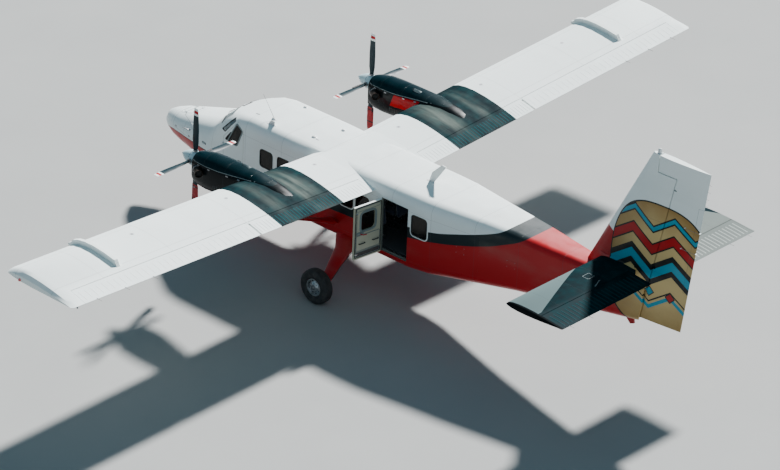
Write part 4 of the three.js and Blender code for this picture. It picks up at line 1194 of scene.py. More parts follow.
def crew_door_parts():
    form = Form()
    place = side_place()
    for corners, trim in ((CREW_WINDOW, CREW_TRIM), (CREW_QUARTER, None)):
        window(form, fine(rounded(corners, 0.03), 0.05), place, 0.012, trim)
    # Handle in its dished plate
    form.plate((3.13, 1.8), (3.25, 1.89), 0.02, place, -0.002, 0.0025, 3)
    form.tube([place(3.15, 1.845, 0.004), place(3.16, 1.845, 0.022), place(3.225, 1.842, 0.022)],
              0.007, 10, 4)
    # Inner panel of the door, its edge and a grip
    inner = fine(rounded(DOOR_PANEL, 0.05), 0.08)
    form.patch(inner, place, -0.058, DOOR_FACE, 5)
    form.frame(inner, place, strip(0.012, -0.05, -0.064), 6)
    form.plate((2.95, 1.95), (3.15, 2.0), 0.02, place, -0.078, -0.058, 6)
    make_pair("crew_door_parts", form, "crew_door", "glazing",
              "pane seal pinstripe steel chrome door_green trim")


def windshield_parts():
    """Seals round the two panes, the strip between them and a wiper on each."""
    form = Form()
    place = roof_place()
    outline = fine(rounded(WINDSHIELD, 0.03), 0.05)
    form.frame(outline, place, SHIELD_SEAL)
    form.frame(outline, place, SHIELD_TRIM, 1)
    pivot, tip, across = (0.16, 2.135), Vector((0.33, 2.42)), Vector((0.235, 0.085))
    form.turned(place(*pivot, -0.004), place(*pivot, 1) - place(*pivot, 0),
                ((0.0, 0.0), (0.018, 0.0), (0.018, 0.018), (0.01, 0.026), (0.0, 0.026)), 16, 2)
    arm = [Vector(pivot).lerp(tip, part) for part in (0, 0.3, 0.65, 1)]
    form.tube([place(*spot, rise) for spot, rise in zip(arm, (0.022, 0.042, 0.038, 0.026))],
              (0.006, 0.005, 0.004, 0.003), 8, 2)
    wiper = [tip + across * part for part in (-0.55, -0.3, 0, 0.3, 0.55)]
    form.tube([place(*spot, 0.013) for spot in wiper], 0.0065, 8, 3)
    form.tube([place(*spot, rise) for spot, rise in zip(wiper, (0.014, 0.022, 0.027, 0.022, 0.014))],
              0.0035, 8, 2)
    make_pair("windshield_trim", form, "airframe", "glazing", "seal white steel rubber")
    post = Form()
    post.ridge([(0.0, 2.13 + 0.03 * i) for i in range(14)], place, 0.045, 0.01)
    make("windshield_post", post, "airframe", "paint_white", "white")


# Cabin doors. Each row is the body's side, front, rear and top, and the number of studs.
DOORS = (("port", 7.54, 8.32, 2.62, 6), ("starboard", 7.58, 8.29, 2.5, 5))
DOOR_LOW = 1.325
DOOR_LOOKS = "pane seal white steel chrome pinstripe door_green trim red strap"


def cabin_door(front, rear, high, studs, place):
    """Outside: window and handle. Inside: lining panels, beads round the edge, trim and latches."""
    form = Form()
    wide = fine(rectangle(*DOOR_WINDOW, WINDOW_CORNER))
    window(form, wide, place)
    # Outer handle in its dish, and a lock
    form.plate((rear - 0.17, 1.845), (rear - 0.03, 1.945), 0.03, place, -0.002, 0.003, 3)
    form.tube([place(rear - 0.145, 1.895, 0.003), place(rear - 0.14, 1.895, 0.026),
               place(rear - 0.055, 1.89, 0.026)], 0.008, 10, 4)
    form.button((rear - 0.1, 1.8), 0.014, place, -0.001, 0.004, 4)
    # Inner window trim, upper and lower lining panels
    form.frame(wide, place, INNER_TRIM, 5)
    for low, top, paint in ((DOOR_LOW + 0.07, 1.5, 7), (1.53, 1.9, 6), (2.5, high - 0.05, 6)):
        if top - low < 0.04:
            continue
        panel = fine(rectangle((front + 0.055, low), (rear - 0.055, top), 0.03), 0.1)
        form.patch(panel, place, -0.057, DOOR_FACE, paint)
        form.frame(panel, place, strip(0.006, -0.05, -0.061), 5)
    rim = fine(rectangle((front + 0.03, DOOR_LOW + 0.048), (rear - 0.03, high - 0.03), 0.03), 0.1)
    form.frame(rim, place, strip(0.009, -0.049, -0.06), 1)
    # Latch box, its lever, bolts at the free edge and a pull strap
    form.plate((rear - 0.25, 1.93), (rear - 0.06, 1.985), 0.012, place, -0.082, DOOR_FACE, 5)
    form.tube([place(rear - 0.16, 1.957, -0.08), place(rear - 0.16, 1.957, -0.115),
               place(rear - 0.2, 1.935, -0.125), place(rear - 0.3, 1.925, -0.125)], 0.01, 10, 8)
    for height in (1.46, 2.46):
        form.tube([place(rear - 0.09, height, -0.062), place(rear - 0.025, height, -0.062)], 0.012, 12, 4)
    form.tube([place(rear - 0.062, 1.48, -0.06), place(rear - 0.062, 2.44, -0.06)], 0.006, 8, 4)
    for station in (front + 0.1, rear - 0.3):
        loop = ((0, -0.057), (0, -0.085), (0.16, -0.085), (0.16, -0.057))
        form.tube([place(station + reach, 1.7, rise) for reach, rise in loop], 0.011, 8, 9)
    for number in range(studs):
        centre = (front + 0.1 + 0.12 * number, DOOR_LOW + 0.05)
        form.button(centre, 0.01, place, -0.053, DOOR_FACE, 4)
    return form


def swing_open():
    """Carries a point of the closed port door to where the door stands at rest."""
    hinge = Matrix.Translation(PORT_HINGE)
    return hinge @ Matrix.Rotation(-DOOR_OPEN, 4, "Z") @ hinge.inverted()


def cabin_doors():
    for side, front, rear, high, studs in DOORS:
        form = cabin_door(front, rear, high, studs, side_place(SIDES[side]))
        make(f"cabin_door_parts_{side}", form, f"cabin_door_{side}", "glazing", DOOR_LOOKS,
             swing=swing_open() if side == "port" else None)


def door_surrounds():
    """Stops behind the doors, rain strips over them and tread plates on their sills."""
    form = Form()
    for side, front, rear, high, _ in DOORS:
        place = side_place(SIDES[side])
        outline = fine(rectangle((front, 1.34), (rear, high)), 0.1)
        form.frame(outline, place, ((-0.012, -0.052), (-0.012, -0.064), (0.03, -0.064), (0.03, -0.052)))
        form.frame(outline, place, STOP_SEAL, 1)
        path = [(front - 0.05 + (rear - front + 0.1) * k / 8, high + 0.035) for k in range(9)]
        form.ridge(path, place, 0.016, 0.012, 2)
        x = SIDES[side] * 0.755
        form.block((x, at((front + rear) / 2), 1.3225), (0.055, (rear - front) / 2 - 0.02, 0.0025), 0.001, 3)
        for k in range(7):
            step = at(front + 0.07 + (rear - front - 0.14) * k / 6)
            form.block((x, step, 1.3262), (0.045, 0.004, 0.0015), 0.0008, 3)
    make("door_surrounds", form, "airframe", "interior", "lining seal white alloy")


# Seats: five rows, each with the X and width of the seats on both sides of the aisle
SEAT_ROWS = [3.62 + 0.76 * k for k in range(5)]
SEAT_PLAN = {"port": ((0.52, 0.43),), "starboard": ((-0.205, 0.345), (-0.555, 0.345))}
CREW_SEAT = (0.4, 0.44, 2.78)
SEAT_EDGE = 0.04
RAIL_HEIGHT = 1.342


def power(value, exponent):
    return math.copysign(abs(value) ** exponent, value)


def cushion(form, centre, half, turn, paint, pull, channels):
    """A crowned closed form whose sides pull in between its corners, with sewn channels across."""
    around, rise = 28, 14
    rings = []
    for k in range(rise + 1):
        lift = math.pi * (k / rise - 0.5)
        ring = []
        for j in range(around):
            angle = 2 * math.pi * (j + 0.5) / around
            level = power(math.cos(lift), 0.42)
            x, y = level * power(math.cos(angle), 0.3), level * power(math.sin(angle), 0.3)
            z = power(math.sin(lift), 0.8)
            crown = 1 - 0.3 * (x * x + y * y) / 2
            for channel in channels:
                crown -= 0.16 * math.exp(-(((y - channel) / 0.05) ** 2))
            crown -= 0.05 * math.exp(-((((abs(x) - 0.93) / 0.03) ** 2)))
            draw_x = 1 - pull * (1 - y * y) * abs(x) ** 3
            draw_y = 1 - pull * (1 - x * x) * abs(y) ** 3
            wrinkle = 0.012 * math.sin(9 * x + 5 * y + 3 * z) * math.cos(7 * y - 4 * x)
            spot = Vector((x * draw_x * half[0], y * draw_y * half[1], z * (crown + wrinkle) * half[2]))
            ring.append(Vector(centre) + turn @ spot)
        rings.append(ring)
    form.loft(rings, paint)


def piping(form, centre, half, turn):
    """A sewn cord round a cushion's middle."""
    outline = rectangle((-half[0] * 0.985, -half[1] * 0.985), (half[0] * 0.985, half[1] * 0.985), 0.035, 4)
    path = [Vector(centre) + turn @ Vector((spot.x, spot.y, 0.0)) for spot in outline]
    form.tube([*path, path[0], path[1]], 0.0045, 6, 1)


# Cushions of a seat. Each row is name, station and height of its middle from the seat's front, half
# depth and thickness, what it loses on each side, how far it leans, its channels and its paint.
SEAT_CUSHIONS = (
    ("base", 0.235, 1.688, 0.232, 0.062, 0.006, 0.0, (-0.35, 0.0, 0.35), 0),
    ("back", 0.487, 1.985, 0.345, 0.04, 0.006, -80.5, (-0.45, -0.1, 0.25), 0),
    ("head", 0.505, 2.235, 0.085, 0.046, 0.05, -80.5, (), 2),
)


def seat_pads(name, x, width, station, node):
    """The cushions of one seat, each a padded piece on its frame's slope."""
    for part, offset, height, deep, thick, trim, lean, channels, paint in SEAT_CUSHIONS:
        form = Form()
        turn = Matrix.Rotation(math.radians(lean), 3, "X")
        centre = (x, at(station + offset), height)
        half = (width / 2 - trim, deep, thick)
        cushion(form, centre, half, turn, paint, 0.03 if channels else 0.02, channels)
        if channels:
            piping(form, centre, half, turn)
        piece = make(f"{name}_{part}", form, "airframe", "seat_fabric", "seat piping strap")
        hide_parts(node)


def seat_frame(form, x, width, station):
    low, high = x - width / 2 + SEAT_EDGE, x + width / 2 - SEAT_EDGE

    def spots(*rows):
        return [(across, at(station + y), z) for across, y, z in rows]
    for edge in (low, high):
        form.tube(spots((edge, 0.04, 1.365), (edge, 0.06, 1.6), (edge, 0.1, 1.625),
                        (edge, 0.4, 1.625), (edge, 0.44, 1.66), (edge, 0.535, 2.28)), 0.011, 8)
        form.tube(spots((edge, 0.42, 1.64), (edge, 0.4, 1.365)), 0.011, 8)
    for y, z in ((0.05, 1.48), (0.41, 1.48), (0.1, 1.625), (0.4, 1.625), (0.535, 2.28)):
        form.tube(spots((low, y, z), (high, y, z)), 0.009, 8)
    # Lap belt halves over the cushion
    for edge, way in ((low + 0.02, 1), (high - 0.02, -1)):
        form.tube(spots((edge, 0.38, 1.7), (edge, 0.36, 1.757), (edge + way * 0.06, 0.26, 1.76),
                        (edge + way * 0.12, 0.19, 1.759)), 0.0045, 6, 1)
        form.block((edge + way * 0.125, at(station + 0.185), 1.762), (0.018, 0.024, 0.004), 0.002, 2)


def seats():
    for side, plan in SEAT_PLAN.items():
        frames = Form()
        for row, station in enumerate(SEAT_ROWS):
            for letter, (x, width) in zip("ab", plan):
                seat_pads(f"seat_{side}_{row + 1}{letter}", x, width, station, f"cabin_seats_{side}")
                seat_frame(frames, x, width, station)
        low, high = SEAT_ROWS[0] + 0.02, SEAT_ROWS[-1] + 0.56
        for x, width in plan:
            for offset in (-width / 2 + SEAT_EDGE, width / 2 - SEAT_EDGE):
                middle = (x + offset, at((low + high) / 2), RAIL_HEIGHT)
                frames.block(middle, (0.016, (high - low) / 2, 0.0215))
        piece = make(f"seat_frames_{side}", frames, "airframe", "interior", "alloy strap chrome")
        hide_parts(f"cabin_seats_{side}")
        x, width, station = SIDES[side] * CREW_SEAT[0], *CREW_SEAT[1:]
        seat_pads(f"crew_seat_{side}_pad", x, width, station, f"crew_seat_{side}")
        crew = Form()
        seat_frame(crew, x, width, station)
        crew.block((x, at(2.95), RAIL_HEIGHT), (0.15, 0.15, 0.0215))
        piece = make(f"crew_seat_frame_{side}", crew, "airframe", "interior", "alloy strap chrome")
        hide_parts(f"crew_seat_{side}")


KNOB = ((0.0, -0.012), (0.01, -0.01), (0.012, 0.0), (0.01, 0.01), (0.0, 0.012))
DIAL_PITCH = 0.105
DIAL_TICKS = 8
LEVERS = 6
LEVER_PITCH = 0.03


def instruments():
    """Dials in two groups and a stack between them, on the sloping face of the panel."""
    form = Form()
    low, high = Vector((0, at(2.33), 1.9)), Vector((0, at(2.4), 2.29))
    slope = (high - low).normalized()
    out = slope.cross(Vector((1, 0, 0)))
    if out.y < 0:
        out = -out

    def spot(x, up, rise):
        return low + Vector((x, 0, 0)) + slope * up + out * rise
    dials = [(side * CREW_SEAT[0] + column * DIAL_PITCH, row, 0.043)
             for side in (1, -1) for column in (-1, 0, 1) for row in (0.12, 0.25)]
    dials += [(column, row, 0.027) for column in (-0.09, -0.03, 0.03, 0.09)
              for row in (0.09, 0.155, 0.22, 0.285)]
    for number, (x, up, radius) in enumerate(dials):
        def mark(part, angle, rise):
            return spot(x + part * radius * math.cos(angle), up + part * radius * math.sin(angle), rise)
        form.turned(spot(x, up, -0.001), out, (
            (0.0, 0.0), (radius, 0.0), (radius, 0.008), (radius * 0.88, 0.01),
            (radius * 0.84, 0.004), (0.0, 0.004)), 20)
        form.tube([spot(x, up, 0.0055), mark(0.7, 0.7 * number, 0.0055)], 0.0014, 5, 1)
        for tick in range(DIAL_TICKS):
            angle = math.pi * (0.25 + tick / 5)
            form.tube([mark(0.7, angle, 0.0045), mark(0.8, angle, 0.0045)], 0.001, 4, 1)
    for row in range(5):
        place = spot(0.0, 0.33 - 0.001 * row, 0.004) + Vector((0.05 * (row - 2), 0, 0))
        form.block(place, (0.016, 0.005, 0.008), 0.002, 2)
    # Power levers that hang from the roof between the seats
    for k in range(LEVERS):
        x = LEVER_PITCH * (k - (LEVERS - 1) / 2)
        form.tube([(x, at(2.62), 2.7), (x, at(2.6), 2.62), (x, at(2.57), 2.53)], 0.005, 6, 2)
        form.turned((x, at(2.568), 2.525), UP, KNOB, 10, 3)
    make("instruments", form, "airframe", "cockpit_trim", "dial mark steel red")
    box = Form()
    box.block((0, at(2.63), 2.735), (0.16, 0.1, 0.055), 0.02)
    make("overhead_console", box, "airframe", "cockpit_trim", "trim")


# Beads pressed into the skins of the moving surfaces. Each row is the body, first and last X, pitch,
# first and last station, width, height, look and slot.
BEADS = (
    ("flap", 1.03, 4.32, 0.094, 6.985, 7.285, 0.03, 0.0055, "flap_bead", "paint_white"),
    ("aileron", 4.55, 9.42, 0.165, 6.985, 7.255, 0.024, 0.0035, "flap_bead", "paint_white"),
    ("elevator", 0.42, 2.98, 0.116, 14.18, 14.6, 0.03, 0.006, "elevator_bead", "paint_dark"),
)


def control_surfaces():
    for node, start, end, pitch, low, high, width, height, look, slot in BEADS:
        form = Form()
        count = max(1, round((end - start) / pitch))
        for up in (True, False):
            place = over_place(f"{node}_port", up)
            for k in range(count + 1):
                x = start + (end - start) * k / count
                path = [(x, low + (high - low) * part) for part in (0, 0.06, 0.35, 0.65, 0.94, 1)]
                form.ridge(path, place, width, height)
        make_pair(f"{node}_beads", form, node, slot, look, 50)


def wicks(spots, reach):
    """Thin rods that trail from an edge."""
    form = Form()
    for spot in spots:
        start = Vector(spot)
        form.tube([start - AFT * 0.03, start + AFT * 0.02], 0.006, 6)
        form.tube([start, start + Vector((0, reach, -0.004))], 0.0025, 5, 1)
    return form


def trailing_wicks():
    spots = [(x, at(7.33), hit("aileron_port", (x, at(7.29), 9), (0, 0, -1)).z - 0.006)
             for x in (7.6, 8.4, 9.2)]
    make_pair("aileron_wicks", wicks(spots, 0.13), "aileron", "bare_alloy", "steel soot")
    spots = [(x, at(14.665), 3.095) for x in (2.3, 2.9)]
    make_pair("elevator_wicks", wicks(spots, 0.12), "elevator", "bare_alloy", "steel soot")
    spots = [(0.0, at(15.64 + 0.02 * k), 5.2 + 0.17 * k) for k in range(4)]
    make("rudder_wicks", wicks(spots, 0.1), "rudder", "bare_alloy", "steel soot")


def tabs():
    """Trim tabs' rods: a horn on the fixed part of the surface and one on its tab."""
    form = Form()
    for height in (4.05, 4.55):
        front, rear = at(15.18 + 0.125 * (height - 4.05)), at(15.56 + 0.125 * (height - 4.05))
        for x, y in ((0.055, front), (0.035, rear)):
            form.block((x, y, height), (0.028, 0.014, 0.004), 0.002)
        form.tube([(0.078, front, height), (0.06, rear, height)], 0.004, 8, 1)
    make("rudder_tab_rods", form, "rudder", "bare_alloy", "white steel")
    form = Form()
    place = over_place("tailplane_port")
    form.ridge([(1.07, 13.9), (1.16, 13.93), (1.25, 13.97), (1.34, 14.0)], place, 0.022, 0.018)
    form.frame(rectangle((1.02, 13.55), (1.22, 13.72), 0.02), place, strip(0.004, -0.002, 0.002))
    make_pair("tailplane_details", form, "airframe", "paint_dark", "pinstripe")


def lamps():
    spot = hit("wing_port", (12, at(5.78), 3.235), (-1, 0, 0)) - Vector((0.012, 0.02, 0))
    curve = [(0.034 * math.cos(a), 0.012 + 0.045 * math.sin(a)) for a in (0, 0.35, 0.7, 1.05, 1.35)]
    tip = Form()
    tip.turned(spot, (1, 0, 0), ((0.0, 0.0), *curve, (0.0, 0.057)), 20, 1)
    tip.turned(spot, (1, 0, 0), (
        (0.0, -0.01), (0.04, -0.01), (0.042, 0.004), (0.036, 0.01), (0.0, 0.01)), 20)
    make("tip_lamp_port", tip, "airframe", "glazing", "alloy red_lens")
    make("tip_lamp_starboard", Form().add(tip, MIRROR), "airframe", "glazing", "alloy green_lens")
    form = Form()
    place = cast_place("wing_port", lambda u, v: (u, -6, v), (0, 1, 0))
    for x, z in ((8.62, 3.2), (9.02, 3.22)):
        outline = fine(rectangle((x - 0.14, z - 0.055), (x + 0.14, z + 0.065), 0.04), 0.05)
        form.patch(outline, place, 0.0005, 0.006)
        form.frame(outline, place, ((-0.004, -0.002), (-0.004, 0.007), (0.01, 0.007), (0.012, -0.002)), 1)
    make_pair("landing_lamps", form, "airframe", "glazing", "clear_lens alloy")
    form = Form()
    top = hit("fin", (0, at(14.4), 9), (0, 0, -1))
    form.turned(top - UP * 0.01, UP, (
        (0.0, 0.0), (0.05, 0.0), (0.052, 0.022), (0.046, 0.028), (0.0, 0.028)))
    form.turned(top + UP * 0.016, UP, (
        (0.0, 0.0), (0.044, 0.0), (0.044, 0.045), (0.038, 0.075), (0.022, 0.093), (0.0, 0.098)), 24, 1)
    make("fin_beacon", form, "airframe", "glazing", "alloy clear_lens")
    form = Form()
    form.turned((0, at(5.35), 1.082), (0, 0, -1), (
        (0.0, 0.0), (0.06, 0.0), (0.06, 0.018), (0.045, 0.05), (0.024, 0.072), (0.0, 0.078)))
    make("belly_beacon", form, "airframe", "glazing", "red_lens")


def blade(form, foot, chord, lean, height, thickness, place):
    """A swept blade antenna on its base plate. foot is across and station."""
    base = place(*foot, -0.006)
    up = (place(*foot, 1) - place(*foot, 0)).normalized()
    side = up.cross(AFT).normalized()
    rings = []
    for part in (0.0, 0.08, 0.5, 0.9, 0.98, 1.0):
        size = chord * (1 - 0.45 * part) * (0.9 if part == 1.0 else 1.0)
        thick = thickness * (1 - 0.5 * part) * (0.4 if part == 1.0 else 1.0)
        middle = base + up * height * part + AFT * lean * part
        rings.append([
            middle + AFT * size / 2 * math.cos(a) + side * thick * math.sin(a) for a in circle(16)
        ])
    form.loft(rings)
    outline = [
        Vector(foot) + Vector((math.sin(a) * 0.035, math.cos(a) * chord * 0.72)) for a in circle(24)
    ]
    form.patch(outline, place, -0.003, 0.004)


def roof_items():
    form = Form()
    place = roof_place()
    blade(form, (0.6, 3.9), 0.2, 0.05, 0.11, 0.014, place)
    blade(form, (0.39, 3.77), 0.13, -0.02, 0.05, 0.022, place)
    foot = place(0.39, 3.77, 0.04)
    whip = [foot + Vector((-0.02, -0.34, 0.46)) * part for part in (0, 0.25, 0.5, 0.75, 1)]
    form.tube([spot - AFT * (0.03 * k * k / 16) for k, spot in enumerate(whip)],
              (0.006, 0.005, 0.004, 0.0035, 0.003), 8, 1)
    for across, station, size in ((-0.57, 3.82, 0.04), (0.36, 4.99, 0.055), (-0.36, 5.2, 0.045)):
        spot = place(across, station, -0.004)
        form.turned(spot, place(across, station, 1) - spot, (
            (0.0, 0.0), (size * 1.25, 0.0), (size * 1.25, 0.008), (size, 0.012), (size * 0.85, 0.026),
            (size * 0.5, 0.036), (0.0, 0.039)))
    for low, high, corner, bottom, top, paint in (
        ((0.415, 3.25), (0.445, 3.37), 0.012, -0.001, 0.0015, 2),
        ((0.385, 5.07), (0.405, 5.16), 0.008, -0.001, 0.006, 1),
        ((-0.035, 8.06), (0.035, 8.3), 0.03, -0.002, 0.006, 0),
    ):
        form.plate(low, high, corner, place, bottom, top, paint)
    make("roof_items", form, "airframe", "paint_white", "antenna steel soot")
    belly = Form()
    under = roof_place(-1)
    for station in (4.3, 9.2):
        blade(belly, (0.0, station), 0.16, 0.06, 0.14, 0.012, under)
    for station in (4.9, 6.1):
        drain(belly, under(0.25, station, -0.01), (0.01, -0.03), (0.06, -0.055))
    make("belly_items", belly, "airframe", "paint_white", "antenna steel")


def drain(form, spot, middle, end):
    """A short pipe that bends aft."""
    form.tube([spot, spot + Vector((0, *middle)), spot + Vector((0, *end))], 0.008, 8, 1)


def nose_items():
    form = Form()
    place = side_place()
    form.plate((1.88, 1.815), (2.03, 1.865), 0.02, place, -0.001, 0.0015)
    for height in (1.825, 1.84, 1.855):
        form.ridge([(1.89, height), (1.92, height), (1.99, height), (2.02, height)], place, 0.008, 0.006, 1)
    # Pitot head on its mast, a static plate, hatch latches and hinges
    mast = place(1.36, 1.9, -0.01)
    out = (place(1.36, 1.9, 1) - place(1.36, 1.9, 0)).normalized()
    elbow = mast + out * 0.1
    form.tube([mast, mast + out * 0.07, elbow - AFT * 0.02, elbow - AFT * 0.15],
              (0.014, 0.012, 0.01, 0.007), 10, 2)
    form.button((1.72, 1.55), 0.035, place, -0.001, 0.003, 2)
    for station in (0.78, 1.36):
        form.plate((station - 0.03, 1.74), (station + 0.03, 1.77), 0.008, place, -0.001, 0.004, 2)
        form.tube([place(station - 0.05, 2.02, 0.004), place(station + 0.05, 2.02, 0.004)], 0.007, 8, 1)
    make_pair("nose_items", form, "airframe", "paint_white", "soot white steel")
    tip = Form()
    roof = roof_place()
    outline = fine(rectangle((-0.22, 0.66), (0.22, 1.02), 0.05), 0.06)
    tip.frame(outline, roof, strip(0.003, -0.001, 0.0015))
    for across in (-0.14, 0.14):
        tip.plate((across - 0.012, 0.98), (across + 0.012, 1.015), 0.005, roof, -0.001, 0.004, 1)
    make("nose_panel", tip, "airframe", "paint_white", "seal steel")


def tail_items():
    form = Form()
    place = side_place()
    for station in (9.6, 10.9, 12.2):
        height = 0.5 * (skin_roof(station, 0) + skin_roof(station, 0, -1))
        form.plate((station, height - 0.1), (station + 0.26, height + 0.08), 0.03, place, -0.001,
                   0.0022, 0, 0.08)
        for reach, rise in ((0.03, -0.08), (0.23, -0.08), (0.03, 0.06), (0.23, 0.06)):
            form.button((station + reach, height + rise), 0.008, place, 0.001, 0.0036, 1, 10)
    make_pair("tail_covers", form, "airframe", "paint_red", "red steel")
    lamp = Form()
    lamp.turned((0, at(14.1), 1.975), (0, 0.25, -1), (
        (0.0, -0.02), (0.03, -0.02), (0.03, 0.012), (0.022, 0.03), (0.0, 0.034)), 18)
    lamp.turned((0, at(13.55), 1.885), (0, 0.15, -1), stub(0.045, 0.026, -0.02), 18, 1)
    make("tail_lamp", lamp, "airframe", "glazing", "clear_lens steel")


# Wheels. Each row is the middle's X and station, outer radius, half width, rim radius and axle.
WHEELS = {
    "main": (1.855, 6.6, 0.4094, 0.135, 0.205, 0.032),
    "nose": (0.0, 2.07, 0.3428, 0.1075, 0.165, 0.022),
}
# Tyre section, from the bead over the tread: parts of the height over the rim and of the half width
TYRE_SECTION = (
    (0.004, 0.6), (0.004, 0.7), (0.05, 0.84), (0.16, 0.92), (0.2, 0.965), (0.26, 0.955),
    (0.45, 1.0), (0.62, 0.985), (0.66, 1.0), (0.7, 0.965), (0.86, 0.83), (0.945, 0.66),
    (0.97, 0.54), (0.985, 0.43), (0.945, 0.415), (0.945, 0.365), (0.99, 0.35),
    (0.998, 0.165), (0.955, 0.155), (0.955, 0.105), (1.0, 0.09),
)
TYRE_STEPS = 64
WHEEL_BOLTS, BRAKE_BOLTS = 8, 10
BRAKE_FACE = 1.662
BOLT = ((0.0, 0.0), (0.01, 0.0), (0.01, 0.012), (0.008, 0.014), (0.0, 0.014))
HOLE_RING = ((0.016, 0.0), (0.021, 0.0), (0.021, 0.01), (0.016, 0.01), (0.016, 0.0))


def across_from(angle):
    """The direction of an angle in the plane of a wheel."""
    return Vector((0, math.cos(angle), math.sin(angle)))


def tyre(kind, node, body, way=1):
    x, station, radius, half, rim, _ = WHEELS[kind]
    rows = [(rim + (radius - rim) * rise, -half * part) for rise, part in TYRE_SECTION]
    rows += [(r, -w) for r, w in reversed(rows)]
    form = Form()
    form.turned((way * x, at(station), radius), (1, 0, 0), [*rows, rows[0]], TYRE_STEPS)
    piece = make(node.replace("_tyre", "_tread"), form, body, "tyre_rubber", "rubber", 42)
    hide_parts(node)


def wheel_parts(kind, body, way=1):
    """Bolts, lightening holes, a hub cap and a valve on the outer face, and bolts on the inner."""
    x, station, radius, half, rim, axle = WHEELS[kind]
    centre = Vector((way * x, at(station), radius))
    form = Form()
    hub, dish = axle + 0.045, rim - 0.0304
    for face, deep in ((1, 0.45),) if kind == "main" else ((1, 0.45), (-1, 0.3)):
        out = Vector((way * face, 0, 0))

        def spot(r, angle, rise):
            level = half * (0.8 + (deep - 0.8) * (r - hub) / (dish - hub))
            return centre + out * (level + rise) + across_from(angle) * r
        for angle in circle(WHEEL_BOLTS):
            form.turned(spot(hub + 0.028, angle, -0.004), out, BOLT, 6, 1)
            form.turned(spot(hub + 0.028, angle, -0.002), out, stub(0.014, 0.004), 14, 1)
            form.turned(spot(dish - 0.024, angle + 0.39, -0.01), out, stub(0.017, 0.012), 16, 2)
            form.turned(spot(dish - 0.024, angle + 0.39, -0.006), out, HOLE_RING, 16)
        form.turned(centre + out * half * 0.78, out, (
            (0.0, 0.0), (axle + 0.02, 0.0), (axle + 0.02, 0.02), (axle + 0.012, 0.03),
            (axle * 0.5, 0.036), (0.0, 0.037)), 24, 1)
    form.tube([
        centre + Vector((way * half * part, 0, dish - inset)) for part, inset in ((0.6, 0.008), (0.88, 0.02))
    ], 0.005, 8, 2)
    if kind == "main":
        axis = Vector((-way, 0, 0))
        start, reach = half * 0.8, x - BRAKE_FACE
        form.turned(centre, axis, (
            (axle + 0.002, start), (axle + 0.025, start), (axle + 0.028, reach - 0.012),
            (0.165, reach - 0.012), (0.165, reach), (axle + 0.002, reach), (axle + 0.002, start)), 48, 3)
        for angle in circle(BRAKE_BOLTS):
            place = centre + axis * (reach - 0.0125) + across_from(angle) * 0.115
            form.turned(place, axis, stub(0.009, 0.0008), 12, 2)
    make(body.replace("wheel", "wheel_parts"), form, body, "bare_alloy", "alloy steel soot chrome")


# Brake calliper: the middle's X and its distance from the axle, and half sizes, of each block
CALLIPER = (
    (1.6725, 0.182, (0.0225, 0.045, 0.008)), (1.6535, 0.148, (0.0035, 0.045, 0.036)),
    (1.687, 0.15, (0.008, 0.045, 0.032)), (1.698, 0.15, (0.006, 0.02, 0.018)),
)
# Brake pipe up the back of the leg: X, distance aft of the axle and Z
PIPE = (
    (1.655, 0.1, 0.56), (1.62, 0.145, 0.53), (1.52, 0.155, 0.525), (1.33, 0.19, 0.745),
    (1.1, 0.232, 0.965), (0.98, 0.27, 1.06), (0.86, 0.31, 1.13),
)


def main_gear():
    form = Form()
    _, station, radius, _, _, _ = WHEELS["main"]
    y = at(station)
    turn = Matrix.Rotation(math.radians(38), 3, "X")
    for x, reach, half in CALLIPER:
        form.block(Vector((x, y, radius)) + turn @ UP * reach, half, 0.003, 1, turn)
    spots = [Vector((px, at(station + py), pz)) for px, py, pz in PIPE]
    form.tube(spots, 0.007, 8)
    for spot in spots[2:5]:
        form.turned(spot - Vector((0.008, 0, 0.006)), (0.72, 0, -0.69), stub(0.012, 0.014), 10, 1)
    # Bolts on the knuckle, and a tie-down ring below it
    for aft in (-0.06, 0.06):
        for rise in (-0.05, 0.06):
            form.turned((1.649, y + aft, radius + rise), (1, 0, 0), (
                (0.0, 0.0), (0.013, 0.0), (0.013, 0.007), (0.0, 0.008)), 6, 1)
    ring = [(1.6 + 0.024 * math.sin(a), y, radius - 0.1 - 0.024 * math.cos(a)) for a in circle(16, 1)]
    form.tube(ring, 0.005, 8, 1)
    make_pair("main_leg_parts", form, "airframe", "paint_red", "seal steel")


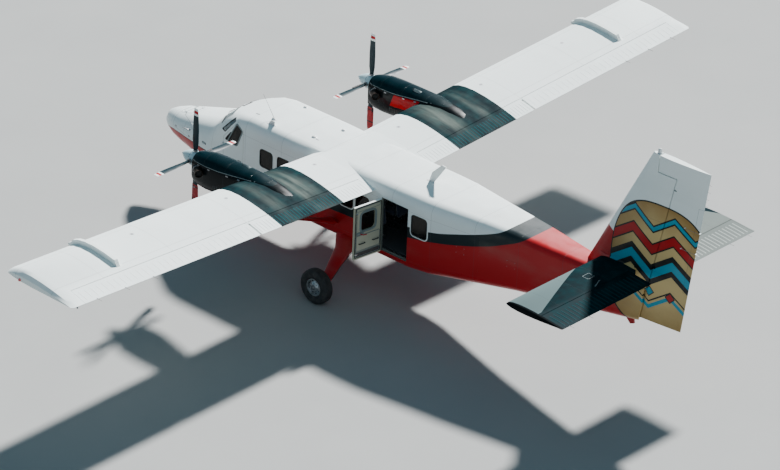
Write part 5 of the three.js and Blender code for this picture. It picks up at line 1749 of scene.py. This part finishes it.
def nose_gear():
    form = Form()
    _, station, radius, _, _, _ = WHEELS["nose"]
    y = at(station)
    for way in (1, -1):
        form.turned((way * 0.1515, y, radius), (way, 0, 0), (
            (0.0, 0.0), (0.03, 0.0), (0.03, 0.008), (0.018, 0.008), (0.018, 0.02), (0.0, 0.022)), 6, 1)
        # Scissor links behind the leg
        form.tube([(way * 0.045, y + 0.062, 0.735), (way * 0.02, y + 0.205, 0.805)], (0.013, 0.01), 8)
        form.tube([(way * 0.04, y + 0.078, 0.88), (way * 0.02, y + 0.205, 0.812)], (0.013, 0.01), 8)
    for x, aft, z, size in ((0.035, 0.208, 0.808, 0.013), (0.06, 0.066, 0.735, 0.011)):
        form.tube([(-x, y + aft, z), (x, y + aft, z)], size, 10, 1)
    form.turned((0, y, 0.862), UP, (
        (0.0645, 0.0), (0.086, 0.0), (0.089, 0.006), (0.089, 0.032), (0.086, 0.038), (0.0645, 0.038),
        (0.0645, 0.0)), 32)
    form.turned((0, y, 0.7575), UP, (
        (0.0625, 0.0), (0.082, 0.0), (0.078, 0.014), (0.066, 0.02), (0.0625, 0.0)), 32, 1)
    for way in (1, -1):
        form.tube([
            (way * 0.11 + 0.018 * math.sin(a), y - 0.082 - 0.012 * math.cos(a), 0.735 + 0.018 * math.cos(a))
            for a in circle(14, 1)
        ], 0.005, 8, 1)
    make("nose_fork_parts", form, "nose_fork", "paint_red", "red steel")
    leg = Form()
    leg.turned((0, y, 0.925), UP, (
        (0.0615, 0.0), (0.074, 0.0), (0.074, 0.03), (0.0615, 0.03), (0.0615, 0.0)), 32, 1)
    leg.tube([(0.0, y - 0.095, 1.12), (0.0, y - 0.15, 1.11)], (0.02, 0.062), 20, 1)
    leg.turned((0.0, y - 0.148, 1.11), (0, -1, -0.15), (
        (0.0, 0.0), (0.06, 0.0), (0.06, 0.01), (0.04, 0.022), (0.0, 0.026)), 24, 2)
    make("nose_leg_parts", leg, "airframe", "bare_alloy", "red steel clear_lens")


# Propeller blades and their covers. Each row is radius, chord, thickness and blade angle in degrees.
BLADE_ROWS = (
    (0.09, 0.09, 0.08, 110), (0.2, 0.095, 0.06, 108), (0.38, 0.15, 0.034, 102),
    (0.7, 0.175, 0.024, 94), (1.05, 0.16, 0.016, 89), (1.22, 0.12, 0.01, 87),
)
BOOT_ROWS = ((0.64, 0.19, 0.05, 94), (1.05, 0.2, 0.046, 89), (1.24, 0.17, 0.04, 87))
BOOT_STRAPS = (0.7, 1.0)
BOOT_SIDES = 40
SPINNER_SCREWS = 20


def blade_spot(rows, radius, around, grow=0.0):
    """A point on a blade's skin, for a blade that points up from the hub."""
    _, chord, thickness, angle = row_at(rows, radius)
    turn = math.radians(angle)
    across = (chord / 2 + grow) * math.cos(around)
    through = (thickness / 2 + grow) * math.sin(around)
    return PROP + Vector((
        across * math.cos(turn) - through * math.sin(turn),
        across * math.sin(turn) + through * math.cos(turn),
        radius,
    ))


def quarter_turn(quarter):
    hub = Matrix.Translation(PROP)
    return hub @ Matrix.Rotation(quarter * math.pi / 2, 4, "Y") @ hub.inverted()


def propeller_parts():
    """Root clamps, rubber strips on the leading edges, and the spinner's screws and seam."""
    root = Form()
    root.turned(PROP, UP, ((0.05, 0.16), (0.056, 0.176), (0.056, 0.205), (0.05, 0.214), (0.0, 0.216)))
    for way in (-1, 1):
        root.block(PROP + Vector((way * 0.057, 0, 0.19)), (0.006, 0.022, 0.01), 0.003, 1)
    arc = [math.pi + 1.25 * (k / 6 - 1) for k in range(13)]
    root.loft([
        [blade_spot(BLADE_ROWS, radius, a, 0.0035) for a in arc]
        + [blade_spot(BLADE_ROWS, radius, a, -0.001) for a in reversed(arc)]
        for radius in (0.222, 0.3, 0.38, 0.47, 0.56)
    ], 2)
    form = Form()
    for quarter in range(4):
        form.add(root, quarter_turn(quarter))
    for turn in circle(SPINNER_SCREWS):
        out = Vector((math.cos(turn + 0.1), 0, math.sin(turn + 0.1)))
        form.turned(PROP + out * 0.1735 - AFT * 0.045, out, (
            (0.0, 0.0), (0.006, 0.0), (0.006, 0.003), (0.0, 0.004)), 8, 1)
    form.turned(PROP, AFT, (
        (0.1735, -0.064), (0.1775, -0.062), (0.1775, -0.056), (0.1735, -0.054), (0.1735, -0.064)), 40, 1)
    make_pair("propeller_parts", form, "propeller", "bare_alloy", "steel chrome rubber")


def swell(value, middle, width):
    """1 at the middle, and fading to both sides."""
    return math.exp(-((value - middle) / width) ** 2)


def propeller_boots():
    """A quilted cloth sleeve over each lower blade, closed over the tip and strapped at the top."""
    form = Form()
    around = circle(BOOT_SIDES)
    radii = [0.64, 0.645, 0.655, 0.668, 0.675, *[0.69 + 0.0275 * k for k in range(20)], 1.226, 1.236, 1.24]
    rings = []
    for radius in radii:
        shrink = 1.0
        if radius > 1.2:
            shrink = math.sqrt(max(0.02, 1 - ((radius - 1.2) / 0.0415) ** 2))
        pinch = -0.006 * swell(radius, 0.7, 0.012) - 0.005 * swell(radius, 1.0, 0.012)
        hem = 0.003 * swell(radius, 0.65, 0.008)
        middle = PROP + UP * radius
        ring = []
        for a in around:
            folds = 0.0035 * math.sin(46 * radius + 2.0 * math.cos(a)) * abs(math.sin(a))
            folds += 0.0022 * math.sin(5 * a + 31 * radius)
            edge = blade_spot(BOOT_ROWS, radius, a, -0.004 + folds + pinch + hem)
            ring.append(middle + (edge - middle) * shrink)
        rings.append(ring)
    form.loft(rings)
    for radius in BOOT_STRAPS:
        band = [
            [blade_spot(BOOT_ROWS, radius + offset, a, grow) for a in around]
            for offset, grow in ((-0.013, -0.006), (-0.013, -0.0015), (0.013, -0.0015), (0.013, -0.006))
        ]
        form.loft([*band, band[0]], 1, False)
        form.block(blade_spot(BOOT_ROWS, radius, math.pi / 2, 0.001), (0.006, 0.02, 0.016), 0.003, 2)
    form.tube([blade_spot(BOOT_ROWS, 0.66 + 0.03 * k, 0.0, -0.001) for k in range(19)], 0.004, 6)
    lower = Form().add(form, quarter_turn(2))
    pieces = make_pair("blade_cover", lower, "propeller", "boot_red", "boot strap steel", 60)
    for side, piece in pieces.items():
        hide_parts(f"propeller_boot_{side}")


def nacelle_parts():
    form = Form()
    node = "nacelle_port"
    outer = cast_place(node, lambda u, v: (ENGINE_X + 1.5, at(u), v), (-1, 0, 0))
    inner = cast_place(node, lambda u, v: (ENGINE_X - 1.5, at(u), v), (1, 0, 0))
    top, under = over_place(node), over_place(node, False)
    for place in (outer, inner):
        form.ridge([row_at(STRIPE_RISE, 3.88 + 0.1 * k) for k in range(20)], place, 0.014, 0.004)
        # Latches under the line, louvres low down and a small hatch
        for station in (4.12, 4.46, 5.02, 5.36):
            height = row_at(STRIPE_RISE, station)[1] - 0.045
            form.plate((station - 0.035, height - 0.012), (station + 0.035, height + 0.012), 0.006,
                       place, -0.001, 0.005, 1)
        for k in range(6):
            station = 4.62 + 0.05 * k
            louvre = ((0, 2.52), (0.004, 2.535), (0.012, 2.6), (0.016, 2.615))
            form.ridge([(station + aft, z) for aft, z in louvre], place, 0.026, 0.01, 2)
        outline = fine(rectangle((5.05, 2.62), (5.32, 2.78), 0.03), 0.08)
        form.frame(outline, place, strip(0.003, -0.001, 0.0018), 3)
    # Intake lip, shaft ring, exhausts
    front = at(3.85)
    lip = fine(rectangle((-0.12, 2.385), (0.12, 2.53), 0.03), 0.06)
    form.frame(lip, lambda u, v, rise: Vector((ENGINE_X + u, front - rise, v)), INTAKE_LIP, 4)
    form.turned((ENGINE_X, front, 2.831), (0, -1, 0), (
        (0.186, -0.003), (0.186, 0.005), (0.2, 0.006), (0.208, -0.003), (0.186, -0.003)), 40, 1)
    for way in (1, -1):
        start = Vector((ENGINE_X + way * 0.24, at(4.01), 2.8))
        end = Vector((ENGINE_X + way * 0.4, at(4.24), 2.79))
        axis = (end - start).normalized()
        form.turned(end, axis, (
            (0.0855, -0.16), (0.088, -0.15), (0.0895, 0.03), (0.0925, 0.04), (0.0925, 0.048),
            (0.086, 0.05), (0.079, 0.04), (0.077, 0.002), (0.0855, -0.16)), 32, 5)
        form.turned(end, axis, stub(0.078, 0.0035, 0.0005), 32, 3)
        form.turned(end - axis * 0.175, axis, (
            (0.084, 0.0), (0.104, 0.004), (0.1, 0.016), (0.084, 0.018), (0.084, 0.0)), 32, 1)
    # Scoop on the spine, with its opening facing forwards
    x = ENGINE_X - 0.09
    form.ridge([(x, 5.14), (x, 5.155), (x, 5.22), (x, 5.3), (x, 5.34)], top, 0.085, 0.042)
    form.plate((x - 0.03, 5.128), (x + 0.03, 5.15), 0.008, top, -0.002, 0.026, 3)
    # Oil cooler duct and drains below
    duct = [(ENGINE_X, station) for station in (4.52, 4.56, 4.8, 5.0, 5.1)]
    form.ridge(duct, under, 0.24, 0.05, 6)
    for station, across in ((5.22, -0.07), (5.3, 0.05)):
        drain(form, under(ENGINE_X + across, station, -0.01), (0.006, -0.03), (0.05, -0.06))
    make_pair("nacelle_parts", form, "airframe", "paint_dark",
              "pinstripe steel dark soot chrome scorched dark")


# Fairings at both ends of the strut. Each row is the part of its length, chord and thickness.
STRUT_ENDS = (
    ((0.065, 0.34, 0.17), (0.085, 0.31, 0.145), (0.12, 0.255, 0.11), (0.17, 0.222, 0.087)),
    ((0.8, 0.222, 0.087), (0.845, 0.25, 0.105), (0.88, 0.28, 0.125), (0.91, 0.3, 0.14)),
)


def struts():
    form = Form()
    low, high = Vector((0.8, at(6.183), 1.476)), Vector((4.33, at(6.01), 2.9))
    side = AFT.cross((high - low).normalized()).normalized()
    for rows in STRUT_ENDS:
        form.loft([[
            low.lerp(high, part) + AFT * (chord / 2 * math.cos(a)) + side * (thick / 2 * math.sin(a))
            for a in circle(28)
        ] for part, chord, thick in rows])
    make_pair("strut_fairings", form, "airframe", "paint_red", "red")


# Hinge fairings below the wing. Each row is station, depth and width.
HINGE_ROWS = (
    (6.3, 0.004, 0.01), (6.42, 0.03, 0.028), (6.58, 0.055, 0.034), (6.72, 0.05, 0.03),
    (6.8, 0.02, 0.016),
)
# Distances from the middle of the wing: fairings, fuel caps, hatches and the fences' edges
HINGE_PLACES = (5.15, 6.45, 7.75, 9.05)
CAP_PLACES = (1.35, 4.1, 6.9)
HATCH_PLACES = (4.9, 6.2, 7.5, 8.8)
FENCE_EDGES = (8.005 - 0.035, 8.095 + 0.035)


def wing_items():
    """Hinge fairings below the wing, fuel caps, hatches, the fences' base strips and a vane."""
    form = Form()
    under, top = over_place("wing_port", False), over_place("wing_port")
    for across in HINGE_PLACES:
        form.loft([
            [
                under(across, station, -0.01) + Vector((
                    wide * math.cos(a) * 0.8, 0,
                    0.012 * math.sin(a) if math.sin(a) > 0 else deep * math.sin(a) - 0.01,
                ))
                for a in circle(14)
            ]
            for station, deep, wide in HINGE_ROWS
        ])
    for across in CAP_PLACES:
        form.button((across, 5.95), 0.045, top, -0.001, 0.0025, 1)
        form.button((across, 5.95), 0.018, top, 0.001, 0.005, 2, 12)
    for across in HATCH_PLACES:
        form.plate((across, 6.05), (across + 0.34, 6.27), 0.05, under, -0.001, 0.002, 0, 0.1)
    for edge in FENCE_EDGES:
        form.ridge([(edge, 5.5 + 0.115 * k) for k in range(12)], top, 0.03, 0.003)
    vane = hit("wing_port", (6.2, -6, 3.03), (0, 1, 0))
    form.tube([vane + AFT * 0.01, vane + Vector((0, -0.035, -0.01))], 0.004, 8, 2)
    form.block(vane + Vector((0, -0.04, -0.01)), (0.012, 0.01, 0.0015), 0.0007, 2)
    make_pair("wing_items", form, "airframe", "paint_white", "white alloy steel")
    balance = Form()
    spot = over_place("aileron_port", False)(9.46, 6.97, -0.004)
    end = spot + Vector((0, 0.03, -0.22))
    balance.tube([spot, spot + Vector((0, -0.01, -0.12)), end], (0.016, 0.012, 0.009))
    balance.turned(end, (0, 0.5, -0.9), (
        (0.0, -0.02), (0.016, -0.018), (0.02, 0.0), (0.014, 0.03), (0.0, 0.036)), 14)
    make_pair("aileron_weights", balance, "aileron", "bare_alloy", "steel")


make_camera()
make_lights()
make_floor()
dress_cad()
cabin_windows()
crew_door_parts()
windshield_parts()
cabin_doors()
door_surrounds()
seats()
instruments()
control_surfaces()
trailing_wicks()
tabs()
lamps()
roof_items()
nose_items()
tail_items()
for side, way in SIDES.items():
    tyre("main", f"main_tyre_{side}", f"main_wheel_{side}", way)
    wheel_parts("main", f"main_wheel_{side}", way)
tyre("nose", "nose_tyre", "nose_wheel")
wheel_parts("nose", "nose_wheel")
main_gear()
nose_gear()
propeller_parts()
propeller_boots()
nacelle_parts()
struts()
wing_items()
